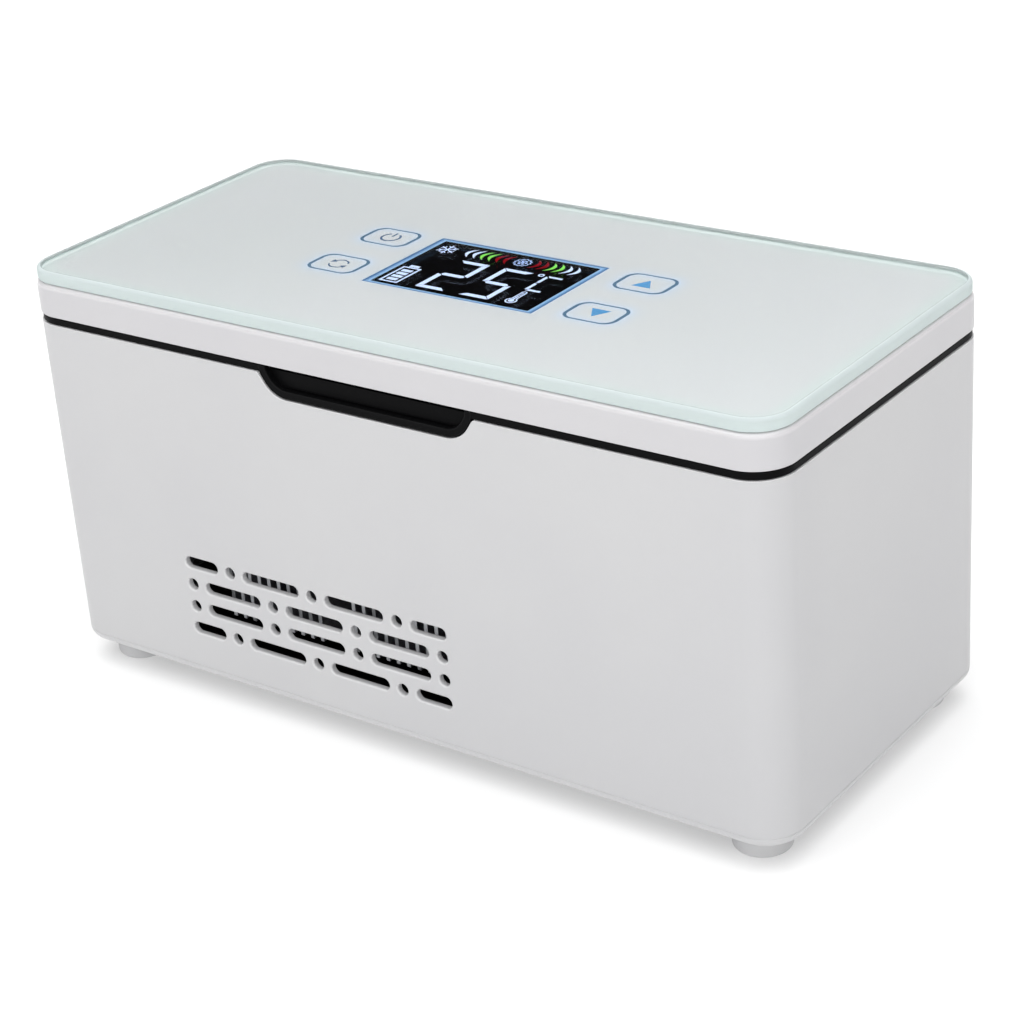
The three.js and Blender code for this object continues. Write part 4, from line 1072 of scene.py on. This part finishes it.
lid = {
    "bottom": 111.8,
    "top": 121.5,
    "deck": 2.0,
    "topEdge": 1.7,
    "bottomEdge": 0.3,
    "window": (134.0, 58.0, 3.2),
    "split": 115.0,
}
panel = {
    "inset": 0.5,
    "low": 121.65,
    "high": 125.15,
    "edge": 1.0,
    "lowEdge": 0.4,
    "printInset": 1.2,
    "printLow": 121.52,
    "printHigh": 121.6,
    "displayAt": (0.75, -0.8),
    "keysAt": (1.35, 0.1),
    "display": (52.4, 34.3),
    "frame": (56.6, 37.3),
    "keys": (43.05, 11.75),
    "key": (15.8, 11.5, 3.3),
    "line": 0.62,
    "lineEnds": 0.45,
    "keyFalloff": 1.5,  # the glow round a key and round the frame falls by a factor e over these
    "frameFalloff": 0.7,
    "edgeTint": (-9.0, -1.5),  # from how far inside the outline the print turns cooler
}


# The lid is a shell: above the split its wall runs all round, and below it the back has the hinge rooms
def lidPatches():
    wall, high, low, edge = case["wall"], lid["top"], lid["bottom"], lid["bottomEdge"]
    under, split, count = high - lid["deck"], lid["split"], case["cornerSteps"] + 1
    section = [(0, split), (0, high, lid["topEdge"]), (-lid["topEdge"], high)]
    patches = wrapped(planLoop, section, 7) + wrapped(planLoop, [(-wall, under), (-wall, split)])
    straight = np.array([(-cornerX, low), (cornerX, low)])
    near, far = hinge["middle"] / 2, hinge["reach"]
    spans = [(x + a, x + b) for x in (hinge["x"], -hinge["x"]) for a, b in ((far, near), (-near, -far))]
    back = backEdge(low, hinge["z"] + hinge["radius"] + hinge["gap"], spans)
    patches += wallEdge(low, -1, (straight, straight), back, edge, edge)
    order = np.r_[3 * count : 4 * count, 0 : 3 * count]
    bend = planLoop[0][order], planLoop[1][order]
    for depth, start, end, facing in ((0, low + edge, split, 1), (-wall, split, low + edge, -1)):
        patches += wrapped(bend, [(depth, start), (depth, end)], closed=False)
        patches.append(wallPanel(split, moved(back, edge)[0][::-1], [], backWall, depth, 0, facing))
    window = box(*lid["window"], steps=6)
    patches.append(level([moved(planLoop, -lid["topEdge"]), window], high, 1))
    patches.append(level([moved(planLoop, -wall), window], under, -1))
    patches += [around(window, mirrored(run)) for run in runsThrough([(0, under), (0, high)])]
    for x in (-hinge["x"], hinge["x"]):
        patches += knuckle(x - hinge["middle"] / 2, x + hinge["middle"] / 2, 1)
    return patches


# A box about the display's middle, grown by a margin
def displayBox(length, width, radius=0.0, grow=0.0):
    return box(length + 2 * grow, width + 2 * grow, radius + grow if radius else 0, *panel["displayAt"])


# A key's outline, grown by a margin and shortened
def keyBox(x, y, grow=0.0, shorten=0.0):
    length, width, radius = panel["key"]
    return box(length + 2 * grow - shorten, width + 2 * grow, radius + grow, x, y, 12)


# The white sheet under the glass, with the display's window
def printPatches():
    outside = moved(planLoop, -panel["printInset"])
    return plate([outside, displayBox(*panel["frame"])], panel["printLow"], panel["printHigh"], 0)


# White print under the glass, with a soft blue glow that falls off exponentially with the distance to each
# key's outline and to the display's frame, given off as light and also painted into the print's colour as a
# blue tint, and a cool tint towards the edge
def printedWhite(name):
    finish = Finish(name, 0.5, Specular_IOR_Level=0.3, Emission_Strength=1.0)
    x, y = (axis / mm for axis in finish.axes()[:2])
    (keysX, keysY), (displayX, displayY) = panel["keysAt"], panel["displayAt"]
    length, width, radius = panel["key"]
    a, b = (x - keysX).size(), (y - keysY).size()
    fromKey = (a - panel["keys"][0]).size(), (b - panel["keys"][1]).size()
    keyDistance = finish.roundedBox(*fromKey, length / 2, width / 2, radius)
    length, width = panel["frame"]
    a, b = (x - displayX).size(), (y - displayY).size()
    frameDistance = finish.roundedBox(a, b, length / 2, width / 2, 0.3)
    keyGlow = (keyDistance.size() / -panel["keyFalloff"]).maths("EXPONENT")
    glow = keyGlow + (frameDistance.size() / -panel["frameFalloff"]).maths("EXPONENT") * 0.5
    fromEdge = finish.roundedBox(x.size(), y.size(), *planSizes(0)).rise(*panel["edgeTint"])
    cloud = finish.noise(12, 3).rise(0.3, 0.7)
    base = finish.mix(cloud, colour(248, 250, 252), colour(246, 249, 250))
    base = finish.mix(fromEdge * 0.7, base, colour(238, 252, 249))
    # painted light: the glow also tints the print's own colour blue round the keys and the frame
    finish.feed("Base Color", finish.mix((glow * 0.4).least(1), base, colour(206, 232, 252)))
    finish.feed("Emission Color", finish.mix(glow.least(1), (0.0, 0.0, 0.0), (0.0, 0.075, 0.22)))
    finish.feed("Roughness", 0.5 + (finish.noise(800, 2) - 0.5) * 0.08)
    finish.bump(finish.noise(1500, 2), 0.03, 0.0001)
    return finish.material


makePiece("lid_cover", lidPatches(), finishes["lidPlastic"], "lid", ["lid_shell"])
makePiece("panel_print", printPatches(), printedWhite("white panel print"), "lid")
glassSlab = plate(
    [moved(planLoop, -panel["inset"])], panel["low"], panel["high"], panel["edge"], panel["lowEdge"], steps=8
)
makePiece("panel_glass_slab", glassSlab, clearGlass("panel glass"), "lid", ["glass_panel"])
print("lid and glass: made")

# Under the lid: the lining plate with its plug, the gasket, the magnet and the screws

lining = {
    "low": 111.8,
    "plate": 2.6,
    "inset": 2.3,
    "plug": (193.0, 51.0, 6.5),
    "plugDepth": 10.0,
    "plugWall": 2.0,
    "groove": (204.0, 62.0, 12.0),  # the gasket's inner side
    "grooveDepth": 1.75,
    "room": 0.3,
    "gasket": 4.0,
    "gasketHeights": (-0.15, 0.15, 1.6),  # ridge, shoulders and top over the plate's lower face
    "ridge": 0.7,
    "screws": (108.0, 40.0),
    "edges": (0.3, 0.2),  # below and on top
    "plugEdges": (1.6, 0.8),
}


# The lining is a plate with holes and a groove below, and its hollow plug hangs into the chamber
def liningPatches():
    low, room, (edge, topEdge) = (lining[key] for key in ("low", "room", "edges"))
    x, y, radius = planSizes(lining["inset"])
    outline = [(-x, -y, radius), (x, -y, radius), (x, y, radius), *hingeRooms(y), (-x, y, radius)]
    outside = lineOf(outline, steps=case["cornerSteps"])
    seats = [circle(screws["lid"][0] + 0.15, a, b, 32) for a, b in fourPlaces(*lining["screws"])]
    holes = [catchRoom, *seats]
    length, width, radius = lining["groove"]
    reach = lining["gasket"] + room
    outer = box(length + 2 * reach, width + 2 * reach, radius + reach, steps=12)
    inner = box(length - 2 * room, width - 2 * room, radius - room, steps=12)
    floor, high = low + lining["grooveDepth"], low + lining["plate"]
    patches = []
    section = [(-edge, low), (0, low, edge), (0, high, topEdge), (-topEdge, high)]
    for run in runsThrough(section, steps=3):
        patches.append(around(outside, run))
        patches += [around(hole, mirrored(run)) for hole in holes]
    below = [moved(outside, -edge), *[moved(hole, edge) for hole in holes], moved(outer, edge)]
    patches.append(level(below, low, -1))
    for run in runsThrough([(-edge, low), (0, low, edge), (0, floor)], steps=3):
        patches += [around(outer, mirrored(run)), around(inner, run)]
    patches.append(level([outer, inner], floor, -1))
    plug, bottom = box(*lining["plug"], steps=12), low - lining["plugDepth"]
    plugEdge, plugFoot = lining["plugEdges"]
    section = [(-plugEdge, bottom), (0, bottom, plugEdge), (0, low, plugFoot), (plugFoot, low)]
    patches += wrapped(plug, section)
    patches.append(level([moved(inner, -edge), moved(plug, plugFoot)], low, -1))
    patches.append(level([moved(plug, -plugEdge)], bottom, -1))
    hollow, hollowFloor = moved(plug, -lining["plugWall"]), bottom + lining["plugWall"]
    patches += wrapped(hollow, [(0, high), (0, hollowFloor, 0.5), (-0.5, hollowFloor)], 4)
    patches.append(level([moved(hollow, -0.5)], hollowFloor, 1))
    above = [moved(outside, -topEdge), *[moved(hole, topEdge) for hole in holes], hollow]
    patches.append(level(above, high, 1))
    return patches


# The gasket's section, with a soft ridge below, carried round the middle of its groove
def gasketPatches():
    (length, width, radius), thick, ridge = lining["groove"], lining["gasket"], lining["ridge"]
    middle, half = box(length + thick, width + thick, radius + thick / 2, steps=12), thick / 2
    low, shoulder, high = (lining["low"] + height for height in lining["gasketHeights"])
    section = [(-half, shoulder, 0.5), (-ridge, low, 0.8), (ridge, low, 0.8), (half, shoulder, 0.5)]
    section += [(half, high), (-half, high)]
    return [around(middle, run) for run in runsThrough(section, True, 4)]


makePiece("lid_lining", liningPatches(), finishes["liningPlastic"], "lid", ["lid_liner"])
makePiece("lid_seal", gasketPatches(), finishes["sealRubber"], "lid", ["lid_gasket"])
magnet = plate([catchStrip], lining["low"], lining["low"] + 1.5, 0.2)
makePiece("lid_magnet_strip", magnet, finishes["steel"], "lid", ["lid_magnet"])
for corner, (sideX, sideY) in cornerSides.items():
    patches = screwPatches(sideX * lining["screws"][0], sideY * lining["screws"][1], "lid")
    label = f"{corner}_lid_screw"
    makePiece(f"{label}_crosshead", patches, finishes["steel"], "lid", [label])
print("lid lining: made")

# The display: a black face with lit signs, worked out as flat outlines

display = {
    "face": 121.46,
    "sign": 121.5,
    "deep": 118.9,
    "stroke": 1.6,
    "gap": 0.16,
    "digit": (9.6, 21.5),
    "digits": {"2": (-7.68, -4.37), "5": (6.9, -4.27)},
    "unit": (19.0, 0.75, 4.7, 10.4, 0.95),  # middle, width, height and stroke
    "unitEnds": (0.4, 0.25, 0.3),  # cut at the corners, half the gap between the halves, mitre
    "degree": (2.3, 0.2, 0.95, 0.5),  # left of the letter, above it, and its radii
    "arcs": (-13.0, 2.6, 12.1, 6.2),  # first one's x, pitch, y and height
    "arcMiddle": 3.65,
    "arcLift": 0.3,
    "crescent": (2.2, 1.15),  # bulge and thickness
    "snowflake": (-21.6, 11.7),
    "rays": (3.2, 0.36),  # length and stroke
    "twigs": (48, 0.5, 0.4, 0.3),  # angle, place and length as shares of the ray's, stroke
    "battery": (-24.6, -15.7, -18.4, -4.3),  # left, low, right and high
    "batteryLine": 0.6,
    "batteryCap": (1.5, 0.3, 1.6),  # inset, and start and end above the frame
    "charge": (1.4, 1.45, 1.5, 2.2),  # inset at the sides and below, height and pitch
    "bulb": (17.85, -12.85),
    "bulbRadii": (1.75, 1.35, 0.85),  # ring and disc
    "tube": (0.7, 1.45, 6.2, 0.34),  # half width, start, end and stroke
    "tubeTop": (6.1, 0.87, 0.53),  # middle and radii
    "column": (3.4, 0.4),  # height and stroke
    "marks": (4.0, 0.8, 0.4, 0.26),  # first one, pitch, half width and stroke
    "badge": (3.95, 12.1),
    "badgeRing": (2.55, 0.22, 0.38),  # radius, scallop and line
    "badgeDots": (1.15, 0.42, 0.5),  # distance from the middle, radius of the six and of the middle one
}


# Part of a ring: out along the outer radius and back along the inner one
def ringLine(outer, inner, start, end, steps=36):
    spokes = spokesAt(np.radians(np.linspace(start, end, steps)))
    return np.concatenate([outer * spokes, inner * spokes[::-1]])


# A sign: a thin plate by its outline and holes about a middle, just above the display's face
def sign(corners, holes=(), low=display["face"] - 0.02, high=display["sign"], middle=panel["displayAt"]):
    loops = [lineOf([tuple(corner) for corner in loop]) for loop in (corners, *holes)]
    return plate([(points + middle, normals) for points, normals in loops], low, high, 0)


# A straight stroke; each end's left and right corners may reach past it or stop short of it, and a point
# may stand between them
def bar(x0, y0, x1, y1, width, first=(0, 0), last=(0, 0), point=0.0):
    start, end = np.array([x0, y0], float), np.array([x1, y1], float)
    along = unit(end - start)
    left = np.array([-along[1], along[0]]) * width / 2
    corners = [start - left - along * first[1], end - left + along * last[1]]
    corners += [end + along * point] if point else []
    corners += [end + left + along * last[0], start + left - along * first[0]]
    corners += [start - along * point] if point else []
    return sign(corners)


# A numeral of seven mitred bars about its middle
def numeral(bars, x, y):
    width, height = display["digit"]
    half, gap = display["stroke"] / 2, display["gap"]
    a, b = x + width / 2 - half, y + height / 2 - half
    c, d = x - width / 2 + half, y - height / 2 + half
    out, cut = half - gap, -half - gap
    ends = {
        "top": (c, b, a, b, (out, cut), (out, cut)),
        "bottom": (c, d, a, d, (cut, out), (cut, out)),
        "upperLeft": (c, y, c, b, (-gap, cut), (out, cut)),
        "upperRight": (a, y, a, b, (cut, -gap), (cut, out)),
        "lowerLeft": (c, d, c, y, (out, cut), (-gap, cut)),
        "lowerRight": (a, d, a, y, (cut, out), (cut, -gap)),
    }
    patches = []
    for name in bars:
        if name == "middle":
            patches += bar(c, y, a, y, 2 * half, (cut, cut), (cut, cut), -gap)
        else:
            x0, y0, x1, y1, first, last = ends[name]
            patches += bar(x0, y0, x1, y1, 2 * half, first, last)
    return patches


# A whole ring, or a disc where it has no inner radius
def ringSign(x, y, outer, inner=0.0, steps=36):
    spokes = spokesAt(np.radians(np.linspace(0, 360, steps)[:-1]))
    return sign(outer * spokes + (x, y), [inner * spokes + (x, y)] if inner else [])


# A crescent: two arcs through the same ends, bulging by different amounts to one side
def crescent(x, y, height, bulge, thick, way):
    share = np.linspace(-1, 1, 15)
    outer = np.stack([x - way * bulge * (1 - share**2), y + share * height / 2], 1)
    inner = np.stack([x - way * (bulge - thick) * (1 - share**2), y + share * height / 2], 1)
    line = np.concatenate([outer, inner[-2:0:-1]])
    return sign(line if way < 0 else line[::-1])


# The number, and the letter and ring of its unit
def numeralPatches():
    patches = numeral(["top", "upperRight", "middle", "lowerLeft", "bottom"], *display["digits"]["2"])
    patches += numeral(["top", "upperLeft", "middle", "lowerRight", "bottom"], *display["digits"]["5"])
    x, y, width, height, stroke = display["unit"]
    cut, gap, mitre = display["unitEnds"]
    aside, above, outer, inner = display["degree"]
    left, right, top, low = x - width / 2, x + width / 2, y + height / 2, y - height / 2
    patches += bar(left + cut, top, right, top, stroke, (mitre, -mitre))
    patches += bar(left, y + gap, left, top - cut, stroke, (0, -mitre), (mitre, -mitre))
    patches += bar(left, low + cut, left, y - gap, stroke, (mitre, -mitre), (0, -mitre))
    patches += bar(left + cut, low, right, low, stroke, (-mitre, mitre))
    return patches + ringSign(left - aside, top + above, outer, inner)


# Six rays, each with two twigs
def snowflake():
    middle, (length, stroke) = np.array(display["snowflake"]), display["rays"]
    turn, place, share, thin = display["twigs"]
    patches = []
    for angle in range(30, 390, 60):
        ray = spokesAt(np.radians(angle)) * length
        patches += bar(*middle, *(middle + ray), stroke)
        fork = middle + ray * place
        for side in (-turn, turn):
            patches += bar(*fork, *(fork + spokesAt(np.radians(angle + side)) * length * share), thin)
    return patches


# A frame, a cap and four charge bars
def batterySign():
    (left, low, right, high), line = display["battery"], display["batteryLine"]
    hole = rectangle(left + line, low + line, right - line, high - line)
    patches = sign(rectangle(left, low, right, high), [hole])
    inset, start, end = display["batteryCap"]
    patches += sign(rectangle(left + inset, high + start, right - inset, high + end))
    inset, lift, height, pitch = display["charge"]
    for i in range(4):
        start = low + lift + i * pitch
        patches += sign(rectangle(left + inset, start, right - inset, start + height))
    return patches


# A bulb, a tube with a round end, the column in it and three marks
def thermometer():
    (x, y), (outer, inner, disc) = display["bulb"], display["bulbRadii"]
    patches = sign(ringLine(outer, inner, 115, 425) + (x, y)) + ringSign(x, y, disc)
    side, start, end, stroke = display["tube"]
    for line in (x - side, x + side):
        patches += bar(line, y + start, line, y + end, stroke)
    top, outer, inner = display["tubeTop"]
    patches += sign(ringLine(outer, inner, 0, 180) + (x, y + top))
    height, stroke = display["column"]
    patches += bar(x, y, x, y + height, stroke)
    first, pitch, side, stroke = display["marks"]
    for i in range(3):
        mark = y + first + i * pitch
        patches += bar(x - side, mark, x + side, mark, stroke)
    return patches


# The round badge: a scalloped ring whose radius is a cosine of the angle, with seven dots inside
def badgePatches():
    (x, y), (radius, scallop, line) = display["badge"], display["badgeRing"]
    away, dot, middleDot = display["badgeDots"]
    angles = np.linspace(0, 2 * np.pi, 145)[:-1]
    spokes = spokesAt(angles)
    radii = radius + scallop * np.cos(angles * 12)[:, None]
    patches = sign(spokes * radii + (x, y), [spokes * (radii - line) + (x, y)])
    for spoke in spokesAt(np.radians(np.arange(0, 360, 60))):
        patches += ringSign(x + away * spoke[0], y + away * spoke[1], dot, steps=20)
    return patches + ringSign(x, y, middleDot, steps=20)


# Two crescents of a colour on each side of the badge
def arcPatches(first):
    x, pitch, y, height = display["arcs"]
    patches = []
    for i in (first, first + 1):
        left = x + i * pitch
        right = 2 * display["arcMiddle"] - left
        patches += crescent(left, y, height, *display["crescent"], 1)
        patches += crescent(right, y + display["arcLift"], height, *display["crescent"], -1)
    return patches


# The display's black face
def facePatches():
    return plate([displayBox(*panel["display"], 0.2)], display["deep"], display["face"], 0.02)


# The light frame round the face
def framePatches():
    inner = displayBox(*panel["display"], 0.2, 0.15)
    return plate([displayBox(*panel["frame"], 0.3), inner], display["deep"], display["sign"], 0.02)


# Each value of a colour times the share
def dimmed(tint, share):
    return tuple(value * share for value in tint)


# Print or light: a plain lit colour with a slight unevenness, as a backlight has
def lit(name, base, glow, strength):
    finish = Finish(name, 0.4, Specular_IOR_Level=0.0, Emission_Strength=strength)
    cloud = finish.noise(180, 2)
    finish.feed("Base Color", finish.mix(cloud * 0.3, base, dimmed(base, 0.8)))
    finish.feed("Emission Color", finish.mix(cloud * 0.25, glow, dimmed(glow, 0.85)))
    return finish.material


# Near black with a faint cloud, as an unlit display has
def displayBlack(name):
    finish = Finish(name, 0.55, Specular_IOR_Level=0.0)
    finish.feed("Base Color", finish.mix(finish.noise(90, 3), colour(2, 2, 4), colour(5, 5, 8)))
    finish.feed("Roughness", 0.5 + finish.noise(400, 2) * 0.1)
    return finish.material


# The frame's light: brightest at the display and steel blue at its outer edge, by the distance to the box
def frameLight(name):
    finish = Finish(name, 0.4, Specular_IOR_Level=0.05, Emission_Strength=0.47)
    x, y = (axis / mm for axis in finish.axes()[:2])
    middleX, middleY = panel["displayAt"]
    over = (x - middleX).size() - panel["display"][0] / 2
    beside = (y - middleY).size() - panel["display"][1] / 2
    share = over.most(beside * 1.25).rise(0.2, 1.8)
    tint = finish.mix(share, colour(156, 196, 236), colour(62, 108, 158))
    finish.feed("Base Color", tint)
    finish.feed("Emission Color", finish.mix(finish.noise(60, 2) * 0.3, tint, colour(90, 140, 190)))
    return finish.material


signs = {
    "white": lit("lit white sign", colour(190, 206, 236), colour(198, 215, 248), 0.94),
    "ice": lit("lit blue sign", colour(160, 184, 230), colour(168, 192, 240), 0.84),
    "green": lit("lit green sign", colour(112, 196, 80), colour(134, 216, 92), 0.9),
    "red": lit("lit red sign", colour(90, 10, 16), colour(164, 16, 30), 0.78),
    "keyLine": lit("blue key outline", colour(98, 130, 160), colour(98, 134, 164), 0.14),
    "keySign": lit("blue key sign", colour(94, 162, 216), colour(96, 166, 220), 0.26),
    "keyGrey": lit("grey-blue key sign", colour(88, 114, 150), colour(88, 116, 152), 0.1),
}
faceFinish, frameFinish = displayBlack("display black"), frameLight("frame light")
makePiece("display_face", facePatches(), faceFinish, "lid", ["display_module"])
makePiece("display_glow_frame", framePatches(), frameFinish, "lid", ["display_light_frame"])
makePiece("display_numerals", numeralPatches(), signs["white"], "lid")
icons = snowflake() + batterySign() + thermometer()
makePiece("display_icons", icons, signs["white"], "lid")
makePiece("display_badge", badgePatches(), signs["ice"], "lid")
for tint, first in (("white", 0), ("green", 2), ("red", 4)):
    makePiece(f"display_{tint}_arcs", arcPatches(first), signs[tint], "lid")
print("display: made")

# Touch keys: a light guide under the print, its outline in the print, and a sign

keys = {
    "low": 120.8,
    "high": 121.5,
    "print": 121.62,
    "overlap": 0.05,
    "sides": {"power": (-1, 1), "mode": (-1, -1), "up": (1, 1), "down": (1, -1)},
    "triangle": (3.0, 2.6, 2.5),  # half width, and from the middle to the base and to the tip
    "ring": (2.8, 0.68),  # radius and stroke
    "ringBar": (-0.33, 0.6, 0.33, 3.4),
    "turning": (2.75, 0.52),  # radius and stroke
    "turningArc": 122,
    "arrowhead": (1.0, 1.8),  # half width and length
}


# The guide's plate, and on it the outline, thicker at the key's ends
def keyPatches(x, y):
    half = panel["line"] / 2
    patches = plate([keyBox(x, y, 0.2)], keys["low"], keys["high"], 0.1)
    outline = [keyBox(x, y, half), keyBox(x, y, -half, 2 * panel["lineEnds"])]
    return patches + plate(outline, keys["high"] - keys["overlap"], keys["print"], 0)


# An arrow for up and down, a ring with a bar for power, and two turning arrows for the mode
def keySigns(name, x, y):
    def flat(corners):
        low, high = keys["high"] - keys["overlap"], keys["print"]
        return sign(np.array(corners, float), low=low, high=high, middle=(x, y))

    def ringPart(start, end, radius, stroke):
        return flat(ringLine(radius + stroke / 2, radius - stroke / 2, start, end, 40))

    if name in ("up", "down"):
        way = 1 if name == "up" else -1
        side, base, tip = (way * size for size in keys["triangle"])
        return flat([(-side, -base), (side, -base), (0, tip)])
    if name == "power":
        return ringPart(122, 418, *keys["ring"]) + flat(rectangle(*keys["ringBar"]))
    patches, radius, (wide, long) = [], keys["turning"][0], keys["arrowhead"]
    for end in (142, 322):
        patches += ringPart(end - keys["turningArc"], end, *keys["turning"])
        spoke = spokesAt(np.radians(end))
        ahead = np.array([-spoke[1], spoke[0]])
        patches += flat([spoke * (radius + wide), spoke * radius + ahead * long, spoke * (radius - wide)])
    return patches


for name, (sideX, sideY) in keys["sides"].items():
    x, y = panel["keysAt"][0] + sideX * panel["keys"][0], panel["keysAt"][1] + sideY * panel["keys"][1]
    tint, label = signs["keySign" if name in ("up", "down") else "keyGrey"], f"{name}_key"
    makePiece(f"{label}_outline", keyPatches(x, y), signs["keyLine"], "lid", [label])
    makePiece(f"{name}_key_sign", keySigns(name, x, y), tint, "lid")
print("keys: made")

# The frame's own pieces that stay get their finishes

carried = {
    "foam_jacket": "foam",
    "lid_foam": "foam",
    "temperature_probe": "steel",
    "hinge_pin": "steel",
    "clamp_screw": "steel",
    "cooler_deck": "liningPlastic",
    "battery_holder": "liningPlastic",
    "cold_block": "extrudedAluminium",
    "heatsink": "extrudedAluminium",
    "peltier_module": "ceramic",
    "fan_frame": "fanPlastic",
    "fan_rotor": "fanPlastic",
    "battery_cell": "sleeve",
    "board": "board",
}
for name, node in nodes.items():
    if node.hide_render:
        continue
    finish = next(finishes[kind] for part, kind in carried.items() if part in name)
    for slot in range(len(node.material_slots)):
        node.material_slots[slot].link = "OBJECT"
        node.material_slots[slot].material = finish
print("carried pieces: finished")

# Floor and walls: the floor lights up with the distance from its middle, and the world is bright
# round the horizon and dark overhead, so that the panel's glass reflects a dark ceiling


# A square floor, whose own light grows with the distance from its middle
def addFloor():
    half = studio["floorSize"] / 2
    mesh = bpy.data.meshes.new("floor")
    corners = [(x, y, 0) for x, y in rectangle(-half, -half, half, half)]
    mesh.from_pydata(corners, [], [(0, 1, 2, 3)])
    finish = Finish("pale studio floor", 0.9, Specular_IOR_Level=0.1, Emission_Strength=1.0)
    x, y, _ = finish.axes()
    far = ((x**2 + y**2) ** 0.5).rise(*studio["floorRange"])
    tint = studio["floorColour"]
    finish.feed("Base Color", finish.mix(finish.noise(3, 2), tint, dimmed(tint, 0.99)))
    finish.feed("Emission Color", finish.mix(far, *((v, v, v) for v in studio["floorGlow"])))
    mesh.materials.append(finish.material)
    floor = bpy.data.objects.new("floor", mesh)
    bpy.context.scene.collection.objects.link(floor)


# The world: bright to the side and dark overhead, by the height of the direction
def addWalls():
    world = bpy.data.worlds.new("studio")
    world.use_nodes = True
    sky = Sky(world)
    share = sky.axes()[2].rise(*studio["wallTop"])
    sky.feed("Color", sky.mix(share, studio["walls"], studio["ceiling"]))
    bpy.context.scene.world = world


addWalls()
addFloor()
